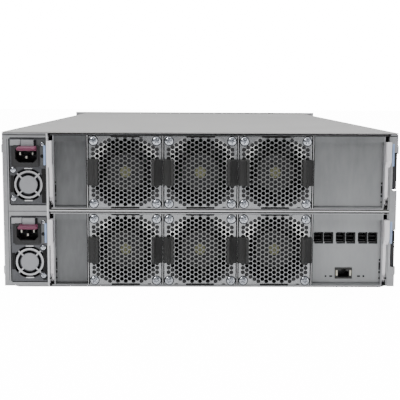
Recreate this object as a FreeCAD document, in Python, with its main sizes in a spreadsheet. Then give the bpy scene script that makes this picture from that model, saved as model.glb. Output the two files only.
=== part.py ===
import FreeCAD, Part
import math
import os

import Sketcher
from FreeCAD import Placement, Rotation, Vector

# Rack disk shelf: a 4U chassis with two slide-out canisters (three fan modules each), two upright power
# supplies, and a drive bay under a sliding top cover.
# X runs across the shelf, Y from the service (rear) face to the front panel, Z up. The origin is the centre
# of the underside. All lengths are millimetres.

SIZES = {
    # chassis
    "body_width": (441, "outside width over the side walls"),
    "body_height": (175, "underside to the top of the cover"),
    "body_depth": (830, "rear flanges to the back of the front panel"),
    "wall_metal": (1.2, "sheet of the walls, shelves and divider"),
    "base_metal": (1.2, "sheet of the base pan"),
    "cover_metal": (1.2, "sheet of the top cover"),
    "running_gap": (0.35, "clearance beside, under and over everything that slides"),
    "wall_flange": (7.5, "width of a side wall's top and bottom flanges"),
    "slide_recess": (6.9, "depth of the side recess for the slide member"),
    "recess_low": (13.5, "underside of the side recess"),
    "recess_drop": (13, "top of the side recess below the top of the cover"),
    "slide_proud": (1.1, "how far a slide member stands out of its wall"),
    "slide_metal": (1.8, "sheet of the slide members"),
    "slide_lip": (9, "height of a slide member's inturned lip"),
    "pan_corner": (15, "cut corners of the base pan"),
    "notch_depth": (6, "finger notch, inward from the wall's outer face"),
    "notch_height": (42.5, "finger notch, top to bottom"),
    "notch_rise": (21.7, "finger notch, above the underside of its canister"),
    "notch_radius": (3.5, "rounded lower corner of a finger notch"),
    # front panel
    "panel_width": (482.6, "front panel with its rack ears"),
    "panel_overlap": (2, "front panel stands this far over the cover"),
    "panel_metal": (3, "front panel thickness"),
    "ear_inset": (8.75, "rack slots from the ends of the front panel"),
    "ear_spacing_z": (101.6, "rack slots, bottom to top"),
    "ear_slot_width": (6.8, "rack slot, across"),
    "ear_slot_length": (10.3, "rack slot, end to end"),
    "air_slot_width": (12, "air slot of the front panel"),
    "air_slot_margin": (18.5, "front panel above and below its air slots"),
    "air_slot_pitch": (27, "from one air slot to the next"),
    "handle_bar": (6, "thickness of a front handle's bar"),
    "handle_width": (12, "width of a front handle's bar"),
    "handle_reach": (38, "how far a front handle stands out"),
    "handle_margin": (32.5, "front panel above and below a handle"),
    "handle_corner": (10, "cut of a handle's outer corners"),
    "handle_inset": (34, "handle's outer side from the end of the ear"),
    # power supplies
    "supply_width": (40, "power supply, across"),
    "supply_strip": (14, "folded strip between the two supplies, with its gaps"),
    "supply_setback": (5, "supply shorter than a canister, front to back"),
    "supply_floor": (6.5, "underside of the lower power supply"),
    "guard_margin": (3.8, "under the fan guard's hole"),
    "guard_slot": (2.3, "opening between the guard's disc and ring"),
    "guard_ring": (2.2, "width of the guard's ring"),
    "guard_edge": (3.1, "opening between the guard's ring and its hole"),
    "guard_clear": (1.6, "between the guard's hole and the inlet housing"),
    "guard_spoke": (2.4, "width of a guard spoke"),
    "guard_sheet": (1.2, "thickness of the punched guard"),
    "guard_chamber": (22, "depth of the fan chamber behind the guard"),
    "chamber_play": (0.5, "fan chamber beyond the guard's hole, on each side"),
    "inlet_width": (27.6, "inlet housing"),
    "inlet_height": (24.4, "inlet housing"),
    "inlet_depth": (24, "inlet housing behind the supply's face"),
    "inlet_proud": (1.2, "inlet housing in front of the supply's face"),
    "inlet_drop": (31.7, "inlet housing's underside below the supply's top"),
    "inlet_shift": (1.8, "inlet off the supply's centre, away from the divider"),
    "socket_width": (24, "inlet socket"),
    "socket_height": (16, "inlet socket"),
    "socket_depth": (18, "inlet socket"),
    "socket_rise": (5, "inlet socket above the housing's underside"),
    "socket_chamfer": (4, "cut lower corners of the inlet socket"),
    "tab_width": (21, "release tab, across"),
    "tab_thick": (5.5, "release tab, top to bottom"),
    "tab_reach": (11, "release tab, in front of the inlet"),
    "tab_drop": (13.7, "release tab's underside below the supply's top"),
    "tab_travel": (2, "release tab's stroke, downwards"),
    "leaf_width": (14, "latch leaf behind the tab"),
    "leaf_metal": (1.2, "sheet of the latch leaf"),
    "leaf_height": (7, "latch leaf above the tab"),
    "leaf_depth": (10, "latch leaf inside the supply"),
    # canisters
    "bay_offset": (40.7, "width of the power supply bay"),
    "canister_headroom": (1.2, "over the upper canister"),
    "canister_length": (255, "canister, rear face to its inner end"),
    "canister_metal": (1.2, "sheet of the canisters"),
    "shelf_band": (3.6, "height of the shelf's hemmed rear edge"),
    "shelf_hem": (10, "depth of the shelf's turned-under hem"),
    "midplane_space": (5, "canister's inner end to the midplane"),
    "midplane_thick": (3, "midplane board"),
    "lever_pocket": (4.6, "width of the slot that holds a lever"),
    "lever_width": (3.6, "thickness of a lever"),
    "lever_rise": (9, "lever pivot above the canister's underside"),
    "lever_setback": (8, "lever pivot behind the canister's face"),
    "lever_headroom": (7.2, "top of a lever below its canister's top"),
    "lever_strip": (6.5, "depth of the lever's arm"),
    "lever_eye": (5.5, "lever's eye, from the pin's axis to each flat"),
    "lever_pin": (2, "radius of the lever's pin"),
    "pin_clearance": (0.05, "radial play of the lever pins in their holes"),
    "lever_tab_width": (5.3, "width of the lever's tab"),
    "lever_tab_height": (28, "height of the lever's tab"),
    "lever_tab_reach": (7, "how far the lever's tab stands out"),
    "panel_setback": (6, "recessed panels behind the canister's face"),
    "panel_band": (6.4, "height of the band along a panel's top"),
    "panel_foot": (4, "depth of the lip along a panel's foot"),
    "board_rise": (4, "standoffs under the canister's board"),
    "standoff_radius": (3.5, "corner radius of the board's six-sided standoffs"),
    "board_thick": (1.6, "circuit boards"),
    "board_setback": (80, "canister's face to its board"),
    "heatsink_height": (22, "heat sink on the canister's board"),
    "plug_height": (8, "board connector"),
    "plug_width": (60, "board connector"),
    "plug_depth": (12, "board connector, on the board"),
    # connectors of the lower canister
    "port_width": (9.8, "expansion port"),
    "port_height": (10.2, "expansion port"),
    "port_depth": (20, "expansion port"),
    "port_rise": (50, "ports above the canister's underside"),
    "port_wall": (1, "wall of a port cage"),
    "port_step": (11.4, "between the two ports of a cage"),
    "cage_step": (25.1, "between port cages"),
    "cage_start": (139.5, "centre of the first port cage"),
    "jack_width": (19.3, "network jack"),
    "jack_height": (12.6, "network jack"),
    "jack_depth": (16, "network jack"),
    "jack_rise": (7.5, "network jack above the canister's underside"),
    "jack_centre": (163.6, "centre of the network jack"),
    "jack_mouth": (12.4, "width of the jack's socket"),
    "jack_mouth_height": (7.2, "height of the jack's socket"),
    "jack_key": (5.8, "width of the latch notch over the socket"),
    "jack_key_height": (2.4, "height of the latch notch"),
    "jack_sill": (1.6, "wall under the jack's socket"),
    # fan modules
    "fan_pitch": (84, "from one fan module to the next"),
    "fan_drop": (0.4, "fan axis below the middle of its canister"),
    "rail_metal": (1.5, "fan bay rails"),
    "rail_depth": (62, "fan bay rails, front to back"),
    "plate_metal": (1, "sheet of the guard plates"),
    "plate_return": (9, "depth of a guard plate's side returns"),
    "vent_rim": (6.3, "outermost vent holes' centres inside the fan's bore"),
    "vent_web": (3.33, "web between two vent holes"),
    "frame_play": (4.6, "canister's height over that of a fan frame"),
    "frame_depth": (38, "fan frame, front to back"),
    "frame_wall": (1.4, "thinnest wall of a fan frame round its bore"),
    "frame_web": (3, "thickness of the fan's rear spider"),
    "frame_strut": (5, "width of a spider arm"),
    "motor_reach": (20, "motor plate, from the axis to where the arms leave it"),
    "hub_radius": (21, "fan hub"),
    "hub_setback": (4, "fan hub behind the frame's face"),
    "tip_clearance": (1.9, "blade tips to the bore"),
    "blade_chord": (20, "fan blade, along the axis"),
    "blade_skew": (13, "how far a blade leans over its chord"),
    "blade_thick": (2, "fan blade"),
    "pull_width": (12.5, "fan module's pull"),
    "pull_height": (29, "fan module's pull"),
    "pull_reach": (12, "pull in front of the plate"),
    "pull_base": (2.5, "pull's foot on the plate"),
    "pull_rib": (3, "pull's grip rib"),
    # power supply fan
    "small_hub_inset": (0.2, "supply fan's hub inside the guard's disc"),
    "small_tip_clearance": (1.6, "supply fan's blade tips to the guard's hole"),
    "small_chord": (12, "blade of the supply's fan, along the axis"),
    "small_skew": (6, "how far that blade leans"),
    "small_thick": (1.4, "that blade"),
    "small_setback": (3, "that hub behind the guard"),
    # drive bay
    "cage_drop": (32, "drive cage walls below the walls' top"),
    "drive_width": (26.1, "disk drive, across"),
    "drive_play": (10.4, "room in a row beside a standing drive, front to back"),
    "drive_drop": (16.5, "drives below the walls' top"),
    "drive_margin": (4.8, "room left over at the ends of a row of drives"),
    "socket_rail": (6, "height of the drive sockets on their board"),
    "socket_depth_y": (12, "front to back of the drive sockets"),
}

ROWS_OF_DRIVES = 5
DRIVES_PER_ROW = 12
AIR_SLOTS = 13
FAN_BLADES = 5
SMALL_BLADES = 5
VENT_RINGS = 2

os.makedirs("parts", exist_ok=True)
doc = FreeCAD.newDocument("DiskShelf")
sheet = doc.addObject("Spreadsheet::Sheet", "Sizes")
for row, (alias, (value, note)) in enumerate(SIZES.items(), start=1):
    sheet.set(f"A{row}", note)
    sheet.set(f"B{row}", str(value))
    sheet.setAlias(f"B{row}", alias)
doc.recompute()


class Size:
    """A length written as a formula over the sheet's cells, with its present value."""

    def __init__(self, text, value):
        self.text = text
        self.value = value

    def __add__(self, other):
        other = as_size(other)
        return Size(f"({self.text} + {other.text})", self.value + other.value)

    def __sub__(self, other):
        other = as_size(other)
        return Size(f"({self.text} - {other.text})", self.value - other.value)

    def __mul__(self, factor):
        factor = as_size(factor)
        return Size(f"({self.text} * {factor.text})", self.value * factor.value)

    def __truediv__(self, divisor):
        return self * (1 / divisor)

    def __neg__(self):
        return self * -1

    def __rsub__(self, other):
        return as_size(other) - self

    __radd__ = __add__
    __rmul__ = __mul__


def as_size(term):
    if isinstance(term, Size):
        return term
    return Size(f"({float(term)!r})", float(term))


def cell(alias):
    return Size(f"Sizes.{alias}", float(sheet.get(alias)))


def bind(thing, name, size):
    thing.setExpression(name, as_size(size).text)


def place(thing, x, y, z):
    bind(thing, "Placement.Base.x", x)
    bind(thing, "Placement.Base.y", y)
    bind(thing, "Placement.Base.z", z)


# ---------------------------------------------------------------- modelling helpers
ALONG_X = Rotation(Vector(0, 1, 0), 90)


def box(name, low, high):
    """A block between two corners."""
    block = doc.addObject("Part::Box", name)
    for side, start, end in zip(("Length", "Width", "Height"), low, high):
        bind(block, side, end - start)
    place(block, *low)
    return block


def cylinder(name, turn, start, radius, length):
    """A round bar from its start point along the axis that turn gives."""
    bar = doc.addObject("Part::Cylinder", name)
    bar.Placement = Placement(Vector(), turn)
    bind(bar, "Radius", radius)
    bind(bar, "Height", length)
    place(bar, *start)
    return bar


def hexagon_post(name, start, radius, height):
    """An upright six-sided post."""
    post = doc.addObject("Part::Prism", name)
    post.Polygon = 6
    bind(post, "Circumradius", radius)
    bind(post, "Height", height)
    place(post, *start)
    return post


def joined(name, pieces):
    union = doc.addObject("Part::MultiFuse", name)
    union.Shapes = pieces
    return union


def grouped(name, pieces):
    """Separate solids of one kind, kept in one node."""
    group = doc.addObject("Part::Compound", name)
    group.Links = pieces
    return group


def new_body(name, x=0, y=0, z=0):
    body = doc.addObject("PartDesign::Body", name)
    place(body, as_size(x), as_size(y), as_size(z))
    return body


def sketch_on(body, plane, lift=0, spin=0):
    """A sketch on one of the body's own planes, lifted along its normal and turned in its plane."""
    sketch = body.newObject("Sketcher::SketchObject", f"{body.Name}Sketch")
    origin_plane = next(item for item in body.Origin.OriginFeatures if item.Role == plane)
    sketch.AttachmentSupport = [(origin_plane, "")]
    sketch.MapMode = "FlatFace"
    sketch.AttachmentOffset = Placement(Vector(), Rotation(Vector(0, 0, 1), spin))
    bind(sketch, "AttachmentOffset.Base.z", lift)
    return sketch


def tie(sketch, kind, size, *points):
    """A dimension of a sketch that follows a formula."""
    index = sketch.addConstraint(Sketcher.Constraint(kind, *points, size.value))
    sketch.setExpression(f"Constraints[{index}]", size.text)


def pin_point(sketch, edge, end, x, y):
    """Tie one point of a sketch to formulas for its two coordinates."""
    tie(sketch, "DistanceX", as_size(x), -1, 1, edge, end)
    tie(sketch, "DistanceY", as_size(y), -1, 1, edge, end)


def draw_outline(sketch, corners):
    """A closed outline of straight edges, each corner tied to its formulas."""
    corners = [(as_size(x), as_size(y)) for x, y in corners]
    points = [Vector(x.value, y.value, 0) for x, y in corners]
    first = sketch.GeometryCount
    count = len(points)
    for here in range(count):
        sketch.addGeometry(Part.LineSegment(points[here], points[(here + 1) % count]))
    for here in range(count):
        after = first + (here + 1) % count
        sketch.addConstraint(Sketcher.Constraint("Coincident", first + here, 2, after, 1))
    for here, (x, y) in enumerate(corners):
        pin_point(sketch, first + here, 1, x, y)


def draw_rectangle(sketch, left, right, low, high):
    draw_outline(sketch, [(left, low), (right, low), (right, high), (left, high)])


def draw_circle(sketch, x, y, radius):
    x, y, radius = as_size(x), as_size(y), as_size(radius)
    circle = Part.Circle(Vector(x.value, y.value, 0), Vector(0, 0, 1), radius.value)
    edge = sketch.addGeometry(circle)
    pin_point(sketch, edge, 3, x, y)
    tie(sketch, "Radius", radius, edge)


def draw_polygon(sketch, x, y, radius, corners):
    """A regular outline whose first corner points along the sketch's horizontal axis."""
    turns = [2 * math.pi * corner / corners for corner in range(corners)]
    draw_outline(sketch, [(x + radius * math.cos(turn), y + radius * math.sin(turn)) for turn in turns])


def draw_arc(sketch, radius, start, end):
    """An arc about the sketch's origin, its radius tied to a formula."""
    arc = Part.ArcOfCircle(Part.Circle(Vector(), Vector(0, 0, 1), radius.value), start, end)
    edge = sketch.addGeometry(arc)
    sketch.addConstraint(Sketcher.Constraint("Coincident", edge, 3, -1, 1))
    tie(sketch, "Radius", radius, edge)
    return edge


def draw_quadrant_window(sketch, inner, outer, spoke):
    """A quarter of a ring, cut back on both sides by half a spoke's width."""
    half = spoke / 2
    near_angle = math.asin(half.value / inner.value)
    far_angle = math.asin(half.value / outer.value)
    inner_arc = draw_arc(sketch, inner, near_angle, math.pi / 2 - near_angle)
    outer_arc = draw_arc(sketch, outer, far_angle, math.pi / 2 - far_angle)
    near = inner.value * math.cos(near_angle)
    far = outer.value * math.cos(far_angle)
    flat = sketch.addGeometry(Part.LineSegment(Vector(near, half.value, 0), Vector(far, half.value, 0)))
    steep = sketch.addGeometry(Part.LineSegment(Vector(half.value, far, 0), Vector(half.value, near, 0)))
    for kind, *ends in (
        ("Coincident", inner_arc, 1, flat, 1),
        ("Coincident", flat, 2, outer_arc, 1),
        ("Coincident", outer_arc, 2, steep, 1),
        ("Coincident", steep, 2, inner_arc, 2),
        ("Horizontal", flat),
        ("Vertical", steep),
    ):
        sketch.addConstraint(Sketcher.Constraint(kind, *ends))
    tie(sketch, "DistanceY", half, -1, 1, flat, 1)
    tie(sketch, "DistanceX", half, -1, 1, steep, 1)


def pad(body, sketch, length, backwards=False):
    feature = body.newObject("PartDesign::Pad", f"{body.Name}Pad")
    feature.Profile = sketch
    bind(feature, "Length", length)
    feature.Reversed = backwards
    return feature


def pocket(body, sketch, length, backwards=False):
    feature = body.newObject("PartDesign::Pocket", f"{body.Name}Pocket")
    feature.Profile = sketch
    bind(feature, "Length", length)
    feature.Reversed = backwards
    return feature


def around(body, feature, sketch, count):
    """Copies of a feature round the sketch's normal."""
    pattern = body.newObject("PartDesign::PolarPattern", f"{body.Name}Ring")
    pattern.Originals = [feature]
    pattern.Axis = (sketch, ["N_Axis"])
    pattern.Angle = 360
    pattern.Occurrences = count
    body.Tip = pattern
    return pattern


def along(body, feature, sketch, step, count):
    """Copies of a feature in a row along the sketch's horizontal axis."""
    pattern = body.newObject("PartDesign::LinearPattern", f"{body.Name}Row")
    pattern.Originals = [feature]
    pattern.Direction = (sketch, ["H_Axis"])
    bind(pattern, "Length", step * (count - 1))
    pattern.Occurrences = count
    body.Tip = pattern
    return pattern


def extrusion(name, plane, corners, start, length):
    """A body of one constant section. XZ sections run towards +Y, YZ ones towards +X, XY ones up."""
    body = new_body(name)
    backwards = plane == "XZ_Plane"
    lift = -as_size(start) if backwards else start
    sketch = sketch_on(body, plane, lift=lift)
    draw_outline(sketch, corners)
    pad(body, sketch, length, backwards)
    return body


def channel_section(start, low, high, upper_leg, lower_leg, metal):
    """Corners of a C section that opens towards +Y."""
    return [
        (start, low),
        (start + lower_leg, low),
        (start + lower_leg, low + metal),
        (start + metal, low + metal),
        (start + metal, high - metal),
        (start + upper_leg, high - metal),
        (start + upper_leg, high),
        (start, high),
    ]


nodes = {}


def keep(label, thing):
    """Make this object a sub-part of the shelf."""
    thing.Label = label
    nodes[label] = thing
    return thing


# ---------------------------------------------------------------- places shared by several pieces
gap = cell("running_gap")
metal = cell("wall_metal")
side = cell("body_width") / 2
rear = -cell("body_depth") / 2
front = cell("body_depth") / 2
inner = side - cell("slide_recess") - metal
wall_top = cell("body_height") - cell("cover_metal") - gap
floor = cell("base_metal")
divider_left = cell("bay_offset") - inner
divider_right = divider_left + metal
midplane_face = rear + cell("canister_length") + cell("midplane_space")
midplane_back = midplane_face + cell("midplane_thick")
bay_depth = cell("canister_length") + cell("midplane_space")
canister_room = wall_top - cell("canister_headroom") - floor - gap * 3 - cell("shelf_band")
canister_height = canister_room / 2
canister_pitch = canister_height + gap * 2 + cell("shelf_band")
canister_floor = {"lower": floor + gap, "upper": floor + gap + canister_pitch}
canister_left = divider_right + gap
canister_right = inner - gap
supply_floor = {"lower": cell("supply_floor"), "upper": cell("supply_floor") + canister_pitch}
supply_height = canister_pitch - cell("supply_strip")
supply_length = cell("canister_length") - cell("supply_setback")
panel_height = cell("body_height") + cell("panel_overlap")


# ---------------------------------------------------------------- chassis
def base_pan():
    corner = cell("pan_corner")
    width = side - metal
    outline = [
        (corner - width, rear), (width - corner, rear), (width, rear + corner), (width, front),
        (-width, front), (-width, rear + corner),
    ]
    keep("base_pan", extrusion("BasePan", "XY_Plane", outline, 0, floor))


def side_wall(name, hand, notched):
    """A folded wall whose middle steps inwards for the slide member, with a flange across its rear end."""
    flange = cell("wall_flange")
    low, high = cell("recess_low"), cell("body_height") - cell("recess_drop")
    section = [
        (side - flange, floor), (side, floor), (side, low + metal), (inner + metal, low + metal),
        (inner + metal, high - metal), (side, high - metal), (side, wall_top), (side - flange, wall_top),
        (side - flange, wall_top - metal), (side - metal, wall_top - metal), (side - metal, high),
        (inner, high), (inner, low), (side - metal, low), (side - metal, floor + metal),
        (side - flange, floor + metal),
    ]
    body = extrusion(name, "XZ_Plane", [(x * hand, z) for x, z in section], rear, front - rear)
    face = sketch_on(body, "XZ_Plane", lift=-rear)
    draw_rectangle(face, inner * hand, side * hand, floor, wall_top)
    pad(body, face, metal, backwards=True)
    if notched:
        for level in ("lower", "upper"):
            finger_notch(body, canister_floor[level] + cell("notch_rise"))
    return body


def finger_notch(body, low):
    """A notch from the rear flange's outer edge, its lower inside corner rounded."""
    left = side - cell("notch_depth")
    high = low + cell("notch_height")
    radius = cell("notch_radius")
    cut = sketch_on(body, "XZ_Plane", lift=-rear)
    centre = (left + radius, low + radius)
    lines = [
        ((centre[0], low), (side + metal, low)),
        ((side + metal, low), (side + metal, high)),
        ((side + metal, high), (left, high)),
        ((left, high), (left, centre[1])),
    ]
    for start, end in lines:
        cut.addGeometry(Part.LineSegment(*(Vector(x.value, z.value, 0) for x, z in (start, end))))
    corner = Part.Circle(Vector(centre[0].value, centre[1].value, 0), Vector(0, 0, 1), radius.value)
    arc = cut.addGeometry(Part.ArcOfCircle(corner, math.pi, 1.5 * math.pi))
    for before in range(3):
        cut.addConstraint(Sketcher.Constraint("Coincident", before, 2, before + 1, 1))
    cut.addConstraint(Sketcher.Constraint("Tangent", 3, 2, arc, 1))
    cut.addConstraint(Sketcher.Constraint("Tangent", arc, 2, 0, 1))
    cut.addConstraint(Sketcher.Constraint("Horizontal", 0))
    cut.addConstraint(Sketcher.Constraint("Horizontal", 2))
    cut.addConstraint(Sketcher.Constraint("Vertical", 3))
    pin_point(cut, 1, 1, side + metal, low)
    pin_point(cut, 2, 1, side + metal, high)
    tie(cut, "DistanceX", left, -1, 1, 3, 1)
    tie(cut, "Radius", radius, arc)
    pocket(body, cut, metal)


def slide_members():
    """C-section inner rails, riveted into the recesses of the side walls."""
    sheet_metal = cell("slide_metal")
    low, high = cell("recess_low") + metal, cell("body_height") - cell("recess_drop") - metal
    root, tip = inner + metal, side + cell("slide_proud")
    lip = cell("slide_lip")
    section = [
        (root, low), (tip, low), (tip, low + lip), (tip - sheet_metal, low + lip),
        (tip - sheet_metal, low + sheet_metal), (root + sheet_metal, low + sheet_metal),
        (root + sheet_metal, high - sheet_metal), (tip - sheet_metal, high - sheet_metal),
        (tip - sheet_metal, high - lip), (tip, high - lip), (tip, high), (root, high),
    ]
    start = rear + metal
    pair = [
        extrusion(name, "XZ_Plane", [(x * hand, z) for x, z in section], start, front - start)
        for name, hand in (("SlideLeft", -1), ("SlideRight", 1))
    ]
    keep("slide_members", grouped("SlideMembers", pair))


def supply_shelves():
    """Three folded channels: under, between and over the two power supplies."""
    leg = bay_depth
    over = supply_height + gap
    spans = [
        (floor, supply_floor["lower"] - gap),
        (supply_floor["lower"] + over, supply_floor["upper"] - gap),
        (supply_floor["upper"] + over, wall_top),
    ]
    channels = [
        extrusion(f"SupplyShelf{number}", "YZ_Plane",
                  channel_section(rear, low, high, leg, leg, metal), -inner, cell("bay_offset"))
        for number, (low, high) in enumerate(spans)
    ]
    keep("supply_shelves", grouped("SupplyShelves", channels))


def bay_divider():
    keep("bay_divider", box("BayDivider", (divider_left, rear, floor),
                            (divider_right, midplane_face, wall_top)))


def middle_shelf():
    """The shelf between the canisters, its rear edge folded down and back under."""
    low = canister_floor["lower"] + canister_height + gap
    high = canister_floor["upper"] - gap
    section = channel_section(rear, low, high, bay_depth, cell("shelf_hem"), metal)
    keep("middle_shelf", extrusion("MiddleShelf", "YZ_Plane", section, divider_right,
                                   inner - divider_right))


def midplane():
    """The board across the shelf, with one connector towards each canister and power supply."""
    board = box("MidplaneBoard", (-inner, midplane_face, floor), (inner, midplane_back, wall_top))
    pieces = [board]
    tall = cell("plug_height")
    start = rear + cell("canister_length") + gap
    half = cell("plug_width") / 2
    middle = (canister_left + canister_right) / 2
    for level in ("lower", "upper"):
        low = canister_floor[level] + cell("canister_metal") + cell("board_rise") + cell("board_thick")
        pieces.append(box(f"MidplanePlug{level}", (middle - half, start, low),
                          (middle + half, midplane_face, low + tall)))
        low = supply_floor[level] + tall
        supply_end = rear + supply_length + gap
        inset = (divider_left + inner) / 4
        pieces.append(box(f"MidplaneSupplyPlug{level}", (inset - inner, supply_end, low),
                          (divider_left - inset, midplane_face, low + tall)))
    keep("midplane", joined("Midplane", pieces))


def top_cover():
    keep("top_cover", box("TopCover", (-side, rear, wall_top + gap),
                          (side, front - gap, cell("body_height"))))


def front_panel():
    """The plate across the front, with rack slots in its ears and a row of upright air slots."""
    body = new_body("FrontPanel")
    outline = sketch_on(body, "XZ_Plane", lift=-front)
    ear = cell("panel_width") / 2
    draw_rectangle(outline, -ear, ear, 0, panel_height)
    pad(body, outline, cell("panel_metal"), backwards=True)
    middle = panel_height / 2
    slot_end = (cell("ear_slot_length") - cell("ear_slot_width")) / 2
    radius = cell("ear_slot_width") / 2
    slots = sketch_on(body, "XZ_Plane", lift=-front)
    for x_hand in (-1, 1):
        for z_hand in (-1, 1):
            x = (ear - cell("ear_inset")) * x_hand
            z = middle + cell("ear_spacing_z") / 2 * z_hand
            draw_slot(slots, x, z, slot_end, radius)
    pocket(body, slots, cell("panel_metal"))
    air = sketch_on(body, "XZ_Plane", lift=-front)
    first = -cell("air_slot_pitch") * (AIR_SLOTS - 1) / 2
    half = cell("air_slot_width") / 2
    margin = cell("air_slot_margin")
    draw_rectangle(air, first - half, first + half, margin, panel_height - margin)
    cut = pocket(body, air, cell("panel_metal"))
    along(body, cut, air, cell("air_slot_pitch"), AIR_SLOTS)
    keep("front_panel", body)


def draw_slot(sketch, x, z, reach, radius):
    """A round-ended slot along X: two half circles joined by two level lines."""
    left, right = x - reach, x + reach
    up, down = math.pi / 2, -math.pi / 2
    ends = []
    for centre, start, end in ((left, up, 3 * up), (right, down, up)):
        circle = Part.Circle(Vector(centre.value, z.value, 0), Vector(0, 0, 1), radius.value)
        ends.append(sketch.addGeometry(Part.ArcOfCircle(circle, start, end)))
    lines = []
    for height in (radius.value, -radius.value):
        start = Vector(left.value, z.value + height, 0)
        lines.append(sketch.addGeometry(Part.LineSegment(start, start + Vector(2 * reach.value, 0, 0))))
    for kind, *points in (
        ("Tangent", ends[0], 1, lines[0], 1),
        ("Tangent", lines[0], 2, ends[1], 2),
        ("Tangent", ends[1], 1, lines[1], 2),
        ("Tangent", lines[1], 1, ends[0], 2),
    ):
        sketch.addConstraint(Sketcher.Constraint(kind, *points))
    pin_point(sketch, ends[0], 3, left, z)
    tie(sketch, "DistanceX", right, -1, 1, ends[1], 3)
    tie(sketch, "Radius", radius, ends[0])
    sketch.addConstraint(Sketcher.Constraint("Horizontal", lines[0]))


def front_handles():
    """Two handles of folded flat bar, feet on the front panel."""
    bar, corner = cell("handle_bar"), cell("handle_corner")
    foot = front + cell("panel_metal")
    out = foot + cell("handle_reach")
    low, high = cell("handle_margin"), panel_height - cell("handle_margin")
    bend = corner - bar * (2 - math.sqrt(2))
    section = [
        (foot, low), (out - corner, low), (out, low + corner), (out, high - corner), (out - corner, high),
        (foot, high), (foot, high - bar), (out - bar - bend, high - bar), (out - bar, high - bar - bend),
        (out - bar, low + bar + bend), (out - bar - bend, low + bar), (foot, low + bar),
    ]
    ear = cell("panel_width") / 2 - cell("handle_inset")
    pair = [
        extrusion("HandleLeft", "YZ_Plane", section, -ear, cell("handle_width")),
        extrusion("HandleRight", "YZ_Plane", section, ear - cell("handle_width"), cell("handle_width")),
    ]
    keep("front_handles", grouped("FrontHandles", pair))


# ---------------------------------------------------------------- drive bay
def drive_bay():
    """Walls across the bay, a socket board in each row and the drives that stand on it."""
    start, end = midplane_back, front
    row_pitch = (end - start - metal) / ROWS_OF_DRIVES
    cage_top = wall_top - cell("cage_drop")
    drive_pitch = (inner * 2 - cell("drive_margin")) / DRIVES_PER_ROW
    drive_length = row_pitch - metal - cell("drive_play")
    drive_top = wall_top - cell("drive_drop")
    cage = new_body("DriveCage")
    block = sketch_on(cage, "YZ_Plane", lift=-inner)
    draw_rectangle(block, start, end, floor, cage_top)
    pad(cage, block, inner * 2)
    row = sketch_on(cage, "YZ_Plane", lift=-inner)
    draw_rectangle(row, start + metal, start + row_pitch, floor + metal, cage_top)
    cut = pocket(cage, row, inner * 2, backwards=True)
    along(cage, cut, row, row_pitch, ROWS_OF_DRIVES)
    keep("drive_cage", cage)

    board_low = floor + metal
    board_high = board_low + cell("board_thick")
    rail_high = board_high + cell("socket_rail")
    half_rail = cell("socket_depth_y") / 2
    half_row = drive_pitch * DRIVES_PER_ROW / 2
    boards, drives = [], []
    for number in range(ROWS_OF_DRIVES):
        row_start = start + row_pitch * number + metal
        row_end = start + row_pitch * (number + 1)
        middle = (row_start + row_end) / 2
        section = [
            (row_start, board_low), (row_end, board_low), (row_end, board_high),
            (middle + half_rail, board_high), (middle + half_rail, rail_high),
            (middle - half_rail, rail_high), (middle - half_rail, board_high), (row_start, board_high),
        ]
        boards.append(extrusion(f"SocketBoard{number}", "YZ_Plane", section, -half_row, half_row * 2))
        for place_in_row in range(DRIVES_PER_ROW):
            left = drive_pitch * (place_in_row + 0.5) - half_row - cell("drive_width") / 2
            near = middle - drive_length / 2
            drives.append(box(f"Drive{number}x{place_in_row}", (left, near, rail_high),
                              (left + cell("drive_width"), near + drive_length, drive_top)))
    keep("socket_boards", grouped("SocketBoards", boards))
    keep("disk_drives", grouped("DiskDrives", drives))


# ---------------------------------------------------------------- canisters
fan_columns = (-1, 0, 1)
rail_lines = (-1.5, -0.5, 0.5, 1.5)


def canister_tray(level):
    """The canister's floor and sides, the rails between its fan bays and its two lever brackets."""
    sheet_metal = cell("canister_metal")
    low = canister_floor[level]
    high = low + canister_height - sheet_metal
    left, right = canister_left, canister_right
    section = [
        (left, low), (right, low), (right, high), (right - sheet_metal, high),
        (right - sheet_metal, low + sheet_metal), (left + sheet_metal, low + sheet_metal),
        (left + sheet_metal, high), (left, high),
    ]
    body = extrusion(f"Tray{level}", "XZ_Plane", section, rear, cell("canister_length"))
    rails = sketch_on(body, "XZ_Plane", lift=-rear)
    half = cell("rail_metal") / 2
    for line in rail_lines:
        x = cell("fan_pitch") * line
        draw_rectangle(rails, x - half, x + half, low + sheet_metal, high)
    pad(body, rails, cell("rail_depth"), backwards=True)
    brackets = sketch_on(body, "XZ_Plane", lift=-rear)
    for bracket in lever_brackets():
        draw_rectangle(brackets, *bracket, low + sheet_metal, high)
    pad(body, brackets, cell("lever_setback") * 2, backwards=True)
    for bracket in lever_brackets():
        hole = sketch_on(body, "YZ_Plane", lift=bracket[0])
        draw_circle(hole, rear + cell("lever_setback"), low + cell("lever_rise"),
                    cell("lever_pin") + cell("pin_clearance"))
        pocket(body, hole, sheet_metal, backwards=True)
    keep(f"canister_{level}_tray", body)


def lever_brackets():
    """X spans of the two brackets that carry the levers' pins, one slot in from the tray's sides."""
    sheet_metal, slot = cell("canister_metal"), cell("lever_pocket")
    left = canister_left + sheet_metal + slot
    right = canister_right - sheet_metal - slot
    return ((left, left + sheet_metal), (right - sheet_metal, right))


def canister_cover(level):
    top = canister_floor[level] + canister_height
    keep(f"canister_{level}_cover", box(f"Cover{level}",
                                        (canister_left, rear, top - cell("canister_metal")),
                                        (canister_right, rear + cell("canister_length"), top)))


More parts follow.
